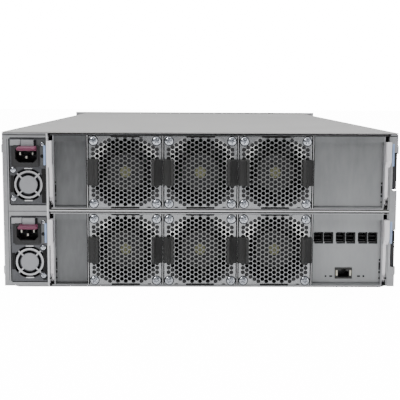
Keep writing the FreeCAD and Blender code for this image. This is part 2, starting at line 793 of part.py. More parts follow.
def panel_section(level):
    """Side view of a recessed panel: band at the top, step back, face, lip along the foot."""
    sheet_metal = cell("canister_metal")
    low = canister_floor[level] + sheet_metal
    high = canister_floor[level] + canister_height - sheet_metal
    back = rear + cell("panel_setback")
    step = high - cell("panel_band")
    lip = back - cell("panel_foot")
    return [
        (lip, low), (back + sheet_metal, low), (back + sheet_metal, step + sheet_metal),
        (rear + sheet_metal, step + sheet_metal), (rear + sheet_metal, high), (rear, high),
        (rear, step), (back, step), (back, low + sheet_metal), (lip, low + sheet_metal),
    ]


def canister_panels(level):
    """The blank panel on the left, and on the right a blank one or the connector panel."""
    half_rail = cell("rail_metal") / 2
    outer_rail = cell("fan_pitch") * 1.5 + half_rail
    brackets = lever_brackets()
    section = panel_section(level)
    left = extrusion(f"PanelLeft{level}", "YZ_Plane", section, brackets[0][1],
                     -outer_rail - brackets[0][1])
    right = extrusion(f"PanelRight{level}", "YZ_Plane", section, outer_rail,
                      brackets[1][0] - outer_rail)
    if level == "lower":
        windows = sketch_on(right, "XZ_Plane", lift=-rear)
        low = canister_floor[level]
        for centre in port_centres():
            draw_rectangle(windows, centre - cell("port_width") / 2, centre + cell("port_width") / 2,
                           low + cell("port_rise"), low + cell("port_rise") + cell("port_height"))
        draw_rectangle(windows, cell("jack_centre") - cell("jack_width") / 2,
                       cell("jack_centre") + cell("jack_width") / 2,
                       low + cell("jack_rise"), low + cell("jack_rise") + cell("jack_height"))
        pocket(right, windows, cell("panel_setback") + cell("canister_metal"))
    keep(f"canister_{level}_panels", grouped(f"Panels{level}", [left, right]))


def port_centres():
    centres = []
    for cage in range(3):
        middle = cell("cage_start") + cell("cage_step") * cage
        centres += [middle - cell("port_step") / 2, middle + cell("port_step") / 2]
    return centres


def expansion_ports():
    """Three port cages of two sockets each, behind the connector panel."""
    wall = cell("port_wall")
    low = canister_floor["lower"] + cell("port_rise")
    high = low + cell("port_height")
    start = rear + cell("panel_setback") + cell("canister_metal")
    cages = []
    centres = port_centres()
    for cage in range(3):
        near, far = centres[2 * cage], centres[2 * cage + 1]
        half = cell("port_width") / 2
        body = new_body(f"PortCage{cage}")
        shell = sketch_on(body, "XZ_Plane", lift=-start)
        draw_rectangle(shell, near - half - wall, far + half + wall, low - wall, high + wall)
        pad(body, shell, cell("port_depth"), backwards=True)
        sockets = sketch_on(body, "XZ_Plane", lift=-start)
        for centre in (near, far):
            draw_rectangle(sockets, centre - half, centre + half, low, high)
        pocket(body, sockets, cell("port_depth") - wall)
        cages.append(body)
    keep("expansion_ports", grouped("ExpansionPorts", cages))


def network_jack():
    """A shielded jack whose socket has a latch notch along its top."""
    low = canister_floor["lower"] + cell("jack_rise")
    start = rear + cell("panel_setback") - cell("canister_metal")
    half = cell("jack_width") / 2
    x = cell("jack_centre")
    body = new_body("NetworkJack")
    shell = sketch_on(body, "XZ_Plane", lift=-start)
    draw_rectangle(shell, x - half, x + half, low, low + cell("jack_height"))
    pad(body, shell, cell("jack_depth"), backwards=True)
    mouth, key = cell("jack_mouth") / 2, cell("jack_key") / 2
    sill = low + cell("jack_sill")
    shoulder = sill + cell("jack_mouth_height")
    crown = shoulder + cell("jack_key_height")
    socket = sketch_on(body, "XZ_Plane", lift=-start)
    draw_outline(socket, [
        (x - mouth, sill), (x + mouth, sill), (x + mouth, shoulder), (x + key, shoulder),
        (x + key, crown), (x - key, crown), (x - key, shoulder), (x - mouth, shoulder),
    ])
    pocket(body, socket, cell("jack_depth") - cell("jack_sill"))
    keep("network_jack", body)


def canister_board(level):
    """A circuit board on four standoffs, with its heat sink and the plug for the midplane."""
    low = canister_floor[level] + cell("canister_metal")
    under = low + cell("board_rise")
    top = under + cell("board_thick")
    start = rear + cell("board_setback")
    end = rear + cell("canister_length")
    inset = cell("plug_depth")
    left, right = canister_left + inset, canister_right - inset
    middle = (canister_left + canister_right) / 2
    half = cell("plug_width") / 2
    pieces = [
        box(f"Board{level}", (left, start, under), (right, end - inset, top)),
        box(f"BoardPlug{level}", (middle - half, end - inset * 2, top),
            (middle + half, end, top + cell("plug_height"))),
        box(f"HeatSink{level}", (middle - half, start + inset * 2, top),
            (middle + half, end - inset * 5, top + cell("heatsink_height"))),
    ]
    for x in (left + inset, right - inset):
        for y in (start + inset, end - inset * 2):
            pieces.append(hexagon_post(f"Standoff{level}", (x, y, low), cell("standoff_radius"),
                                       cell("board_rise")))
    keep(f"canister_{level}_board", joined(f"CanisterBoard{level}", pieces))


def ejector_lever(level, end):
    """An upright arm with an eight-sided eye on a cross pin, and a tab that stands out of the face."""
    pivot_y = rear + cell("lever_setback")
    pivot_z = canister_floor[level] + cell("lever_rise")
    sheet_metal = cell("canister_metal")
    slack = (cell("lever_pocket") - cell("lever_width")) / 2
    if end == "left":
        slot = canister_left + sheet_metal
        tab_left = slot + slack + cell("lever_width") - cell("lever_tab_width")
    else:
        slot = canister_right - sheet_metal - cell("lever_pocket")
        tab_left = slot + slack
    left = slot + slack
    name = f"Lever{level}{end}"
    arm_low = rear + slack
    top = canister_floor[level] + canister_height - cell("lever_headroom")
    tab_foot = top - cell("lever_tab_height")
    out = rear - gap - cell("lever_tab_reach")
    eye = cell("lever_eye")
    facet = eye * math.tan(math.pi / 8)
    arm = [
        (arm_low, top), (arm_low, pivot_z + eye), (pivot_y - eye, pivot_z + facet),
        (pivot_y - eye, pivot_z - facet), (pivot_y - facet, pivot_z - eye), (pivot_y + facet, pivot_z - eye),
        (pivot_y + eye, pivot_z - facet), (pivot_y + eye, pivot_z + facet),
        (arm_low + cell("lever_strip"), pivot_z + eye * 2), (arm_low + cell("lever_strip"), top),
    ]
    bracket = lever_brackets()[0] if end == "left" else lever_brackets()[1]
    pin_start = left if end == "left" else bracket[0]
    pin_length = cell("lever_width") + slack + sheet_metal
    pieces = [
        extrusion(f"{name}Arm", "YZ_Plane", arm, left, cell("lever_width")),
        cylinder(f"{name}Pin", ALONG_X, (pin_start, pivot_y, pivot_z), cell("lever_pin"), pin_length),
        box(f"{name}Neck", (left, rear - gap - slack, tab_foot),
            (left + cell("lever_width"), arm_low, top)),
        extrusion(f"{name}Tab", "YZ_Plane",
                  [(out, tab_foot + cell("lever_tab_reach")), (rear - gap, tab_foot), (rear - gap, top),
                   (out, top)], tab_left, cell("lever_tab_width")),
    ]
    keep(f"lever_{level}_{end}", joined(name, pieces))


# ---------------------------------------------------------------- fan modules
fan_axis_rise = canister_height / 2 - cell("fan_drop")
frame_size = canister_height - cell("frame_play")
frame_bore = frame_size / 2 - cell("frame_wall")


def guard_plate(name, x, z):
    """A plate with folded side returns and rings of six-sided vent holes round its centre."""
    body = new_body(name, x, rear, z)
    sheet_metal = cell("plate_metal")
    half = (cell("fan_pitch") - cell("rail_metal")) / 2 - gap
    low = cell("canister_metal") + gap - fan_axis_rise
    height = canister_height - (cell("canister_metal") + gap) * 2
    deep = cell("plate_return")
    section = sketch_on(body, "XY_Plane", lift=low)
    draw_outline(section, [
        (-half, 0), (half, 0), (half, deep), (half - sheet_metal, deep), (half - sheet_metal, sheet_metal),
        (sheet_metal - half, sheet_metal), (sheet_metal - half, deep), (-half, deep),
    ])
    pad(body, section, height)
    centre = sketch_on(body, "XZ_Plane")
    pitch = (frame_bore - cell("vent_rim")) / VENT_RINGS
    radius = (pitch - cell("vent_web")) / math.sqrt(3)
    draw_polygon(centre, 0, 0, radius, 6)
    pocket(body, centre, sheet_metal)
    wedge = sketch_on(body, "XZ_Plane")
    for ring in range(1, VENT_RINGS + 1):
        for step in range(ring):
            draw_polygon(wedge, pitch * (step * math.sqrt(3) / 2), pitch * (ring - step / 2), radius, 6)
    ring_cut = pocket(body, wedge, sheet_metal)
    around(body, ring_cut, wedge, 6)
    return body


def fan_frame(name, x, z):
    """A square frame bored through, with the four-armed spider that carries the motor across its back."""
    body = new_body(name, x, rear + cell("plate_metal"), z)
    half = frame_size / 2
    outline = sketch_on(body, "XZ_Plane")
    draw_rectangle(outline, -half, half, -half, half)
    ring_depth = cell("frame_depth") - cell("frame_web")
    pad(body, outline, ring_depth, backwards=True)
    bore = sketch_on(body, "XZ_Plane")
    draw_circle(bore, 0, 0, frame_bore)
    pocket(body, bore, ring_depth)
    spider = sketch_on(body, "XZ_Plane", lift=-ring_depth, spin=45)
    arm, motor = cell("frame_strut") / 2, cell("motor_reach")
    reach = frame_bore + cell("frame_strut")
    draw_outline(spider, [
        (-reach, -arm), (-motor, -arm), (-arm, -motor), (-arm, -reach), (arm, -reach), (arm, -motor),
        (motor, -arm), (reach, -arm), (reach, arm), (motor, arm), (arm, motor), (arm, reach),
        (-arm, reach), (-arm, motor), (-motor, arm), (-reach, arm),
    ])
    pad(body, spider, cell("frame_web"), backwards=True)
    return body


def rotor(name, place_at, hub, hub_length, tip, chord, skew, thick, blades):
    """A fan wheel: a hub with four flats to each pitched blade round it. Its face is at the placement."""
    body = new_body(name, *place_at)
    disc = sketch_on(body, "XZ_Plane")
    draw_polygon(disc, 0, 0, hub, blades * 4)
    pad(body, disc, hub_length, backwards=True)
    section = sketch_on(body, "YZ_Plane")
    start = (hub_length - chord) / 2
    lean = skew / 2
    draw_outline(section, [
        (start, -lean), (start + chord, lean), (start + chord, lean + thick), (start, thick - lean),
    ])
    blade = pad(body, section, tip)
    around(body, blade, disc, blades)
    return body


def module_pulls(name, x, z):
    """Two grips at the plate's edges, each scooped out on its outer side to leave a rib."""
    half = (cell("fan_pitch") - cell("rail_metal")) / 2 - gap
    low, high = z - cell("pull_height") / 2, z + cell("pull_height") / 2
    face, out = rear, rear - cell("pull_reach")
    base, rib = cell("pull_base"), cell("pull_rib")
    pair = []
    for tag, hand in (("Left", -1), ("Right", 1)):
        outer = x + half * hand
        inside = outer - cell("pull_width") * hand
        scoop = (outer + inside) / 2
        outline = [
            (outer, face), (outer, face - base), (scoop, face - base), (inside + rib * hand, out + base),
            (inside + rib * hand, out), (inside, out), (inside, face),
        ]
        pair.append(extrusion(f"{name}{tag}", "XY_Plane", outline, low, high - low))
    return grouped(name, pair)


def fan_module(number, level, column):
    x = cell("fan_pitch") * column
    z = canister_floor[level] + fan_axis_rise
    keep(f"fan_{number}_plate", guard_plate(f"Plate{number}", x, z))
    keep(f"fan_{number}_frame", fan_frame(f"Frame{number}", x, z))
    keep(f"fan_{number}_pulls", module_pulls(f"Pulls{number}", x, z))
    face = rear + cell("plate_metal") + cell("hub_setback")
    tip = frame_bore - cell("tip_clearance")
    length = cell("frame_depth") - cell("frame_web") - cell("hub_setback") - gap
    keep(f"fan_{number}_rotor", rotor(
        f"Rotor{number}", (x, face, z), cell("hub_radius"), length, tip, cell("blade_chord"),
        cell("blade_skew"), cell("blade_thick"), FAN_BLADES))


# ---------------------------------------------------------------- power supplies
supply_left = gap - inner
supply_middle = supply_left + cell("supply_width") / 2
inlet_middle = supply_middle - cell("inlet_shift")
inlet_rise = supply_height - cell("inlet_drop")
tab_rise = supply_height - cell("tab_drop")
guard_hole = (inlet_rise - cell("guard_margin") - cell("guard_clear")) / 2
guard_rise = guard_hole + cell("guard_margin")
guard_ring_outer = guard_hole - cell("guard_edge")
guard_ring_inner = guard_ring_outer - cell("guard_ring")
guard_disc = guard_ring_inner - cell("guard_slot")


def supply_case(level):
    """The supply's housing, with a punched fan guard over its fan chamber."""
    low = supply_floor[level]
    guard_z = low + guard_rise
    body = new_body(f"Supply{level}", supply_middle, rear, guard_z)
    half = cell("supply_width") / 2
    outline = sketch_on(body, "XZ_Plane")
    draw_rectangle(outline, -half, half, -guard_rise, supply_height - guard_rise)
    pad(body, outline, supply_length, backwards=True)
    for inside, outside in ((guard_disc, guard_ring_inner), (guard_ring_outer, guard_hole)):
        window = sketch_on(body, "XZ_Plane", spin=45)
        draw_quadrant_window(window, inside, outside, cell("guard_spoke"))
        around(body, pocket(body, window, cell("guard_sheet")), window, 4)
    chamber = sketch_on(body, "XZ_Plane", lift=-cell("guard_sheet"))
    chamber_half = guard_hole + cell("chamber_play")
    draw_rectangle(chamber, -chamber_half, chamber_half, -chamber_half, chamber_half)
    pocket(body, chamber, cell("guard_chamber"))
    seat = sketch_on(body, "XZ_Plane")
    inlet_half = cell("inlet_width") / 2
    inlet_low = inlet_rise - guard_rise
    draw_rectangle(seat, -inlet_half - cell("inlet_shift"), inlet_half - cell("inlet_shift"),
                   inlet_low, inlet_low + cell("inlet_height"))
    pocket(body, seat, cell("inlet_depth"))
    slot = sketch_on(body, "XZ_Plane")
    leaf_half = cell("leaf_width") / 2 + gap
    leaf_low = tab_rise + cell("tab_thick") + cell("leaf_height") - cell("leaf_metal") - guard_rise
    draw_rectangle(slot, -leaf_half, leaf_half, leaf_low - cell("tab_travel") - gap,
                   leaf_low + cell("leaf_metal") + gap)
    pocket(body, slot, cell("leaf_depth") + gap)
    keep(f"supply_{level}_case", body)


def supply_inlet(level):
    """The mains inlet: a housing with a socket whose lower corners are cut, and three blades in it."""
    low = supply_floor[level] + inlet_rise
    start = rear - cell("inlet_proud")
    half = cell("inlet_width") / 2
    body = new_body(f"Inlet{level}", inlet_middle, start, low)
    shell = sketch_on(body, "XZ_Plane")
    draw_rectangle(shell, -half, half, 0, cell("inlet_height"))
    pad(body, shell, cell("inlet_proud") + cell("inlet_depth"), backwards=True)
    socket = sketch_on(body, "XZ_Plane")
    wide, cut = cell("socket_width") / 2, cell("socket_chamfer")
    sill, top = cell("socket_rise"), cell("socket_rise") + cell("socket_height")
    draw_outline(socket, [
        (cut - wide, sill), (wide - cut, sill), (wide, sill + cut), (wide, top), (-wide, top),
        (-wide, sill + cut),
    ])
    pocket(body, socket, cell("socket_depth"))
    blades = sketch_on(body, "XZ_Plane", lift=-cell("socket_depth"))
    blade_half, blade_tall = cell("leaf_metal"), cell("socket_chamfer")
    blade_step = cell("socket_width") * 0.29
    middle = sill + cell("socket_height") / 2
    for x, z in ((-blade_step, middle), (blade_step, middle), (as_size(0), middle - blade_tall)):
        draw_rectangle(blades, x - blade_half, x + blade_half, z, z + blade_tall)
    pad(body, blades, cell("socket_depth") * 0.8)
    keep(f"supply_{level}_inlet", body)


def supply_tab(level):
    """The release tab, on a leaf that goes back into the supply."""
    low = supply_floor[level] + tab_rise
    near = rear - cell("inlet_proud") - gap
    out = near - cell("tab_reach")
    sheet_metal = cell("leaf_metal")
    half_tab, half_leaf = cell("tab_width") / 2, cell("leaf_width") / 2
    tab_top = low + cell("tab_thick")
    leaf_top = tab_top + cell("leaf_height")
    slope = cell("tab_thick") / 4
    grip = extrusion(f"Grip{level}", "YZ_Plane",
                     [(out, low + slope), (near, low), (near, tab_top), (out, tab_top - slope)],
                     supply_middle - half_tab, half_tab * 2)
    leaf = extrusion(f"Leaf{level}", "YZ_Plane", [
        (near - sheet_metal, low), (near, low), (near, leaf_top - sheet_metal),
        (rear + cell("leaf_depth"), leaf_top - sheet_metal), (rear + cell("leaf_depth"), leaf_top),
        (near - sheet_metal, leaf_top),
    ], supply_middle - half_leaf, half_leaf * 2)
    keep(f"supply_{level}_tab", joined(f"Tab{level}", [grip, leaf]))


def supply_rotor(level):
    z = supply_floor[level] + guard_rise
    face = rear + cell("guard_sheet") + cell("small_setback")
    length = cell("guard_chamber") - cell("small_setback") - gap
    keep(f"supply_{level}_rotor", rotor(
        f"SupplyRotor{level}", (supply_middle, face, z), guard_disc - cell("small_hub_inset"), length,
        guard_hole - cell("small_tip_clearance"), cell("small_chord"), cell("small_skew"),
        cell("small_thick"), SMALL_BLADES))


# ---------------------------------------------------------------- build
base_pan()
keep("side_wall_left", side_wall("SideWallLeft", -1, notched=False))
keep("side_wall_right", side_wall("SideWallRight", 1, notched=True))
slide_members()
supply_shelves()
bay_divider()
middle_shelf()
midplane()
top_cover()
front_panel()
front_handles()
drive_bay()
for level in ("lower", "upper"):
    canister_tray(level)
    canister_cover(level)
    canister_panels(level)
    canister_board(level)
    for end in ("left", "right"):
        ejector_lever(level, end)
    supply_case(level)
    supply_inlet(level)
    supply_tab(level)
    supply_rotor(level)
expansion_ports()
network_jack()
for row, level in enumerate(("upper", "lower")):
    for column in fan_columns:
        fan_module(1 + row * 3 + fan_columns.index(column), level, column)

doc.recompute()
failed = [thing.Name for thing in doc.Objects if "Invalid" in thing.State or "Error" in thing.State]
if failed:
    raise RuntimeError(f"failed objects: {failed}")
for label, thing in nodes.items():
    if thing.Shape.isNull() or not thing.Shape.isValid():
        raise RuntimeError(f"bad shape: {label}")
for label, thing in nodes.items():
    thing.Shape.exportStep(f"parts/{label}.step")
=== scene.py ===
import math

import bmesh
import bpy
import numpy as np
from mathutils import Matrix, Vector


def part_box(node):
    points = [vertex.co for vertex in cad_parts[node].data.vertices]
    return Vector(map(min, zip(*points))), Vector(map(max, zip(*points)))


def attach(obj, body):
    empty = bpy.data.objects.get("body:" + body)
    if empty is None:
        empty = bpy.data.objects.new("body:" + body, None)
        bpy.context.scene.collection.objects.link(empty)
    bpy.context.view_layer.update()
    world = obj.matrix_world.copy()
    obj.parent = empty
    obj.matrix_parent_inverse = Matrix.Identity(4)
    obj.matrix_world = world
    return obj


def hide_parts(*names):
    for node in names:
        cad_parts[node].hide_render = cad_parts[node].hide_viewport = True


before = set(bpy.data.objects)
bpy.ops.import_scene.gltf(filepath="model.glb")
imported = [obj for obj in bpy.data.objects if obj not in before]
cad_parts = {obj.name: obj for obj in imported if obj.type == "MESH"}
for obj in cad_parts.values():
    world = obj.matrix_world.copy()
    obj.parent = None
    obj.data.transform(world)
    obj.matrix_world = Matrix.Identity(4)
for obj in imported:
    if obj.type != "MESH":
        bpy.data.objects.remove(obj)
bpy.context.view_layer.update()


# ------------------------------------------------------------------ camera, floor and light
# The shelf is seen from its service side and a little above, in a white studio: a broad light overhead, a
# smaller one high on the left, a weak one low on the right, and a pale floor under it.
EYE = Vector((-0.0142, -1.4071, 0.2213))
PITCH, YAW, ROLL = math.radians(7.001), math.radians(0.798), math.radians(0.279)

forward = Vector((math.sin(YAW) * math.cos(PITCH), math.cos(YAW) * math.cos(PITCH), -math.sin(PITCH)))
sideways = forward.cross(Vector((0, 0, 1))).normalized()
above = sideways.cross(forward)
right = sideways * math.cos(ROLL) + above * math.sin(ROLL)
upward = above * math.cos(ROLL) - sideways * math.sin(ROLL)
camera = bpy.data.objects.new("camera", bpy.data.cameras.new("camera"))
camera.data.lens = 80.3
camera.data.sensor_width = 36
camera.data.clip_end = 100
turned = Matrix((right, upward, -forward)).transposed().to_4x4()
camera.matrix_world = Matrix.Translation(EYE) @ turned
bpy.context.scene.collection.objects.link(camera)
bpy.context.scene.camera = camera


def softbox(name, place, target, width, height, power):
    """A rectangular light at a place, turned towards a target."""
    lamp = bpy.data.lights.new(name, "AREA")
    lamp.shape = "RECTANGLE"
    lamp.size, lamp.size_y, lamp.energy = width, height, power
    light = bpy.data.objects.new(name, lamp)
    light.location = place
    light.rotation_euler = (Vector(target) - Vector(place)).to_track_quat("-Z", "Y").to_euler()
    bpy.context.scene.collection.objects.link(light)


softbox("top light", (0, 0.2, 2.2), (0, 0, 0), 2.6, 2.2, 80)
softbox("face light", (-1.5, -2.0, 1.9), (0, -0.4, 0.1), 0.7, 0.7, 40)
softbox("side light", (1.7, -1.9, 0.5), (0, -0.4, 0.1), 0.5, 1.0, 5)

floor_mesh = bpy.data.meshes.new("floor")
floor_mesh.from_pydata([(-9, -9, 0), (9, -9, 0), (9, 9, 0), (-9, 9, 0)], [], [(0, 1, 2, 3)])
floor = bpy.data.objects.new("floor", floor_mesh)
bpy.context.scene.collection.objects.link(floor)


class Wire:
    """A shader socket that reads like a number in a formula; node() adds any other node."""

    def __init__(self, tree, socket=None):
        self.tree = tree
        self.socket = socket

    def node(self, kind, settings=None, inputs=None, output=0):
        made = self.tree.nodes.new(kind)
        for name, value in (settings or {}).items():
            setattr(made, name, value)
        for name, value in (inputs or {}).items():
            if isinstance(value, Wire):
                self.tree.links.new(value.socket, made.inputs[name])
            else:
                made.inputs[name].default_value = value
        return Wire(self.tree, made.outputs[output])

    def math(self, operation, first, second=0.0):
        return self.node("ShaderNodeMath", {"operation": operation}, {0: first, 1: second})

    def __add__(self, other):
        return self.math("ADD", self, other)

    def __sub__(self, other):
        return self.math("SUBTRACT", self, other)

    def __rsub__(self, other):
        return self.math("SUBTRACT", other, self)

    def __mul__(self, other):
        return self.math("MULTIPLY", self, other)

    __radd__ = __add__
    __rmul__ = __mul__

    def clamped(self, low, high):
        """The value mapped so that low gives 0 and high gives 1, and no further."""
        return self.node("ShaderNodeMapRange", {"clamp": True},
                         {"Value": self, "From Min": low, "From Max": high})

    def mixed(self, first, second):
        """A colour between two, by this value."""
        made = self.tree.nodes.new("ShaderNodeMix")
        made.data_type = "RGBA"
        self.tree.links.new(self.socket, made.inputs[0])
        for slot, colour in ((6, first), (7, second)):
            if isinstance(colour, Wire):
                self.tree.links.new(colour.socket, made.inputs[slot])
            else:
                made.inputs[slot].default_value = (*colour, 1)
        return Wire(self.tree, made.outputs[2])


def new_finish(name, **sockets):
    """A material with its Principled shader: the material, a Wire to build on and a plug function."""
    material = bpy.data.materials.new(name)
    material.use_nodes = True
    tree = material.node_tree
    shader = tree.nodes["Principled BSDF"]
    for socket, value in sockets.items():
        shader.inputs[socket.replace("_", " ").title()].default_value = value

    def plug(socket, value):
        if isinstance(value, Wire):
            tree.links.new(value.socket, shader.inputs[socket])
        else:
            shader.inputs[socket].default_value = value

    return material, Wire(tree), plug


def texture_at(wire, kind, scale, stretch=(1, 1, 1), settings=None, inputs=None, output=0):
    """A texture in the piece's own metres, drawn out along an axis where stretch is small."""
    place = wire.node("ShaderNodeTexCoord", output=3)
    place = wire.node("ShaderNodeMapping", None, {"Vector": place, "Scale": stretch})
    return wire.node(kind, settings, {"Vector": place, "Scale": scale, **(inputs or {})}, output)


def along(wire, axis, space=3):
    """One coordinate in metres: of the piece itself, or of the direction seen where space is 0."""
    place = wire.node("ShaderNodeTexCoord", output=space)
    return wire.node("ShaderNodeSeparateXYZ", None, {"Vector": place}, axis)


def from_nearest(value, pitch):
    """How far a coordinate lies from the nearest whole number of pitches."""
    return value.node("ShaderNodeMath", {"operation": "WRAP"}, {0: value, 1: pitch / 2, 2: -pitch / 2})


def bumped(wire, height, distance, strength):
    """A surface normal that follows a height, with its depth in metres."""
    return wire.node("ShaderNodeBump", None, {"Height": height, "Distance": distance, "Strength": strength})


def grained(name, scale, dark, light, rough=None, bump=None, stretch=(1, 1, 1), detail=2, clear=None,
            **sockets):
    """A finish between two colours, varied by a fine noise. Rough is the least roughness and what the noise
    adds, bump is the grain's depth and strength, and clear is the part of the noise that is spread out."""
    material, wire, plug = new_finish(name, **sockets)
    noise = texture_at(wire, "ShaderNodeTexNoise", scale, stretch, inputs={"Detail": detail})
    spread = noise.clamped(*clear) if clear else noise
    plug("Base Color", spread.mixed(dark, light))
    if rough:
        plug("Roughness", rough[0] + noise * rough[1])
    if bump:
        plug("Normal", bumped(wire, noise, *bump))
    return material


# The paper floor ends in front of the shelf, further off on the right. Past its end the floor is dim.
# The camera alone sees floor and room far brighter than they light the shelf.
FLOOR_GLARE, ROOM_GLARE = (14.0, 14.0, 14.0), (30.0, 30.0, 30.0)
floor_finish, wire, plug = new_finish("pale floor", roughness=0.6, emission_strength=1.0)
cloudy = texture_at(wire, "ShaderNodeTexNoise", 1.5)
paper = (along(wire, "Y") + along(wire, "X") * 0.55).clamped(-2.3, -1.0)
shade = cloudy * 0.1 + paper * 0.9
plug("Base Color", shade.mixed((0.22, 0.22, 0.23), (0.93, 0.93, 0.93)))
seen = wire.node("ShaderNodeLightPath", output=0)
plug("Emission Color", seen.mixed(paper.mixed((0, 0, 0), (0.35, 0.355, 0.36)), FLOOR_GLARE))
floor_mesh.materials.append(floor_finish)

# The room: white behind the shelf, a soft grey elsewhere that is dimmer in front and to the left.
world = bpy.data.worlds.new("studio")
world.use_nodes = True
bpy.context.scene.world = world
air = Wire(world.node_tree)
glow = (along(air, "Y", 0) * 0.75 + along(air, "X", 0) * 0.5 + along(air, "Z", 0) * 0.8).clamped(-0.9, 0.9)
seen = air.node("ShaderNodeLightPath", output=0)
room = glow.mixed((0.06, 0.06, 0.065), (0.95, 0.97, 1.0))
sky = seen.mixed(room, ROOM_GLARE)
backdrop = world.node_tree.nodes["Background"]
world.node_tree.links.new(sky.socket, backdrop.inputs["Color"])
backdrop.inputs["Strength"].default_value = 0.6


# ------------------------------------------------------------------ chassis
# Zinc-plated sheet steel: base pan, side walls, shelves and divider, pressed, folded and riveted together.
# The plating is a soft grey, faintly clouded, with fine rolling grain; cut and folded edges carry painted
# highlights.
def finish_node(material, *nodes):
    """Give CAD nodes this material and no other."""
    for node in nodes:
        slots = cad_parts[node].data.materials
        slots.clear()
        slots.append(material)


def plated_steel(name, dark, light, roughness, metallic, grain=(1, 1, 1)):
    """Zinc plate: between two greys by broad clouds and small crystals, with rolled grain in the bump."""
    material, wire, plug = new_finish(name)
    cloud = texture_at(wire, "ShaderNodeTexNoise", 11, inputs={"Detail": 3})
    crystal = texture_at(wire, "ShaderNodeTexVoronoi", 330)
    speck = texture_at(wire, "ShaderNodeTexNoise", 1500, grain, inputs={"Detail": 2})
    shade = cloud.clamped(0.3, 0.7) * 0.55 + crystal.clamped(0.1, 0.8) * 0.2 + speck * 0.25
    plug("Base Color", shade.mixed(dark, light))
    plug("Metallic", metallic)
    plug("Roughness", roughness + shade * 0.12)
    plug("Normal", bumped(wire, speck + crystal * 0.3, 0.00003, 0.4))
    return material


chassis_steel = plated_steel("chassis steel", (0.28, 0.282, 0.29), (0.43, 0.433, 0.445), 0.32, 0.65)
finish_node(chassis_steel, "base_pan", "side_wall_left", "side_wall_right", "supply_shelves", "bay_divider",
            "middle_shelf", "drive_cage")

# Painted highlight: a lighter copy of the plating, laid on folded edges where they catch the light.
highlight_steel = plated_steel("painted highlight on folded edge", (0.62, 0.62, 0.63), (0.78, 0.78, 0.79), 0.26, 0.55)
# Black for holes and slots, and also painted shadow in seams, gaps, notches and round screw heads.
black_opening_and_gap_shade = new_finish("black opening and painted gap shade", base_color=(0.004, 0.004, 0.004, 1), roughness=0.9)[0]


def add_piece(name, points, faces, material, body, sharp=35):
    """A closed surface made a mesh with its faces outwards, smooth up to an angle, riding on a body."""
    mesh = bpy.data.meshes.new(name)
    mesh.from_pydata(np.asarray(points, float).reshape(-1, 3).tolist(), [], faces)
    shell = bmesh.new()
    shell.from_mesh(mesh)
    bmesh.ops.remove_doubles(shell, verts=shell.verts, dist=1e-7)
    bmesh.ops.dissolve_degenerate(shell, edges=shell.edges, dist=1e-7)
    bmesh.ops.recalc_face_normals(shell, faces=shell.faces)
    shell.to_mesh(mesh)
    shell.free()
    mesh.polygons.foreach_set("use_smooth", np.ones(len(mesh.polygons), bool))
    mesh.set_sharp_from_angle(angle=math.radians(sharp))
    mesh.materials.append(material)
    piece = bpy.data.objects.new(name, mesh)
    bpy.context.scene.collection.objects.link(piece)
    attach(piece, body)
    return piece


def carried(outline, low, high, bevel, axis):
    """A closed outline carried straight along an axis; near both ends it is drawn in by the bevel's width.
    Each corner moves inwards along the mitre of its two edges."""
    outline = np.asarray(outline, float)
    ahead = np.roll(outline, -1, 0) - outline
    ahead /= np.linalg.norm(ahead, axis=1, keepdims=True)
    behind = np.roll(ahead, 1, 0)
    next_x, next_z = np.roll(outline, -1, 0).T
    turn = np.sign(np.sum(outline[:, 0] * next_z - next_x * outline[:, 1]))
    inward = turn * (np.stack([-ahead[:, 1], ahead[:, 0]], 1) + np.stack([-behind[:, 1], behind[:, 0]], 1))
    inward /= 1 + np.sum(ahead * behind, 1, keepdims=True)
    inset = outline + inward * bevel
    heights = (low, low + bevel, high - bevel, high)
    rings = [np.insert(flat, axis, height, axis=1)
             for flat, height in zip((inset, outline, outline, inset), heights)]
    count = len(outline)
    here = np.arange(count)
    after = (here + 1) % count
    faces = [here.tolist(), (here + 3 * count).tolist()]
    for ring in range(3):
        quads = np.stack([here, after, after + count, here + count], 1) + ring * count
        faces += quads.tolist()
    return np.concatenate(rings), faces


def rounded(left, right, low, high, radius):
    """A rectangle whose corners are quarter circles, anticlockwise from the lower left."""
    turns = np.linspace(0, math.pi / 2, 5)
    corners = []
    for x, z, start in ((left + radius, low + radius, 2), (right - radius, low + radius, 3),
                        (right - radius, high - radius, 0), (left + radius, high - radius, 1)):
        angle = turns + start * math.pi / 2
        corners.append(np.stack([x + radius * np.cos(angle), z + radius * np.sin(angle)], 1))
    return np.concatenate(corners)


def pad_on_face(name, left, right, low, high, face, proud, material, body, radius=0.0004):
    """A rounded pad that stands out of an upright face, its front edges eased."""
    ease = min(0.25 * (right - left), 0.25 * (high - low), 0.5 * proud, 0.0003)
    radius = min(radius, (right - left) / 2.2, (high - low) / 2.2)
    points, faces = carried(rounded(left, right, low, high, radius), face - proud, face + 0.0003, ease, 1)
    return add_piece(name, points, faces, material, body)


def framed(name, outer, inner, low, high, material, body):
    """A flat frame between two outlines with as many points each, its front and back joined round both."""
    count = len(outer)
    points = np.concatenate([np.insert(flat, 1, depth, axis=1)
                             for flat, depth in ((outer, low), (inner, low), (inner, high), (outer, high))])
    here = np.arange(count)
    after = (here + 1) % count
    faces = [np.stack([here + ring * count, after + ring * count, after + (ring + 1) % 4 * count,
                       here + (ring + 1) % 4 * count], 1) for ring in range(4)]
    return add_piece(name, points, np.concatenate(faces).tolist(), material, body)


def circle_at(x, z, radius, count=48):
    """A circle's outline in the plane of the service face."""
    turns = np.linspace(0, 2 * math.pi, count, endpoint=False)
    return np.stack([x + radius * np.cos(turns), z + radius * np.sin(turns)], 1)


wall_low, wall_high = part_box("side_wall_left")
rear = wall_low.y
shadow_brown = new_finish("shaded fold", base_color=(0.022, 0.019, 0.017, 1), roughness=0.8)[0]


def seam(name, left, right, low, high):
    """A painted shadow where two sheets part: a thin dark strip on the service face."""
    pad_on_face(name, left, right, low, high, rear, 0.0001, black_opening_and_gap_shade, "chassis", 0.0001)


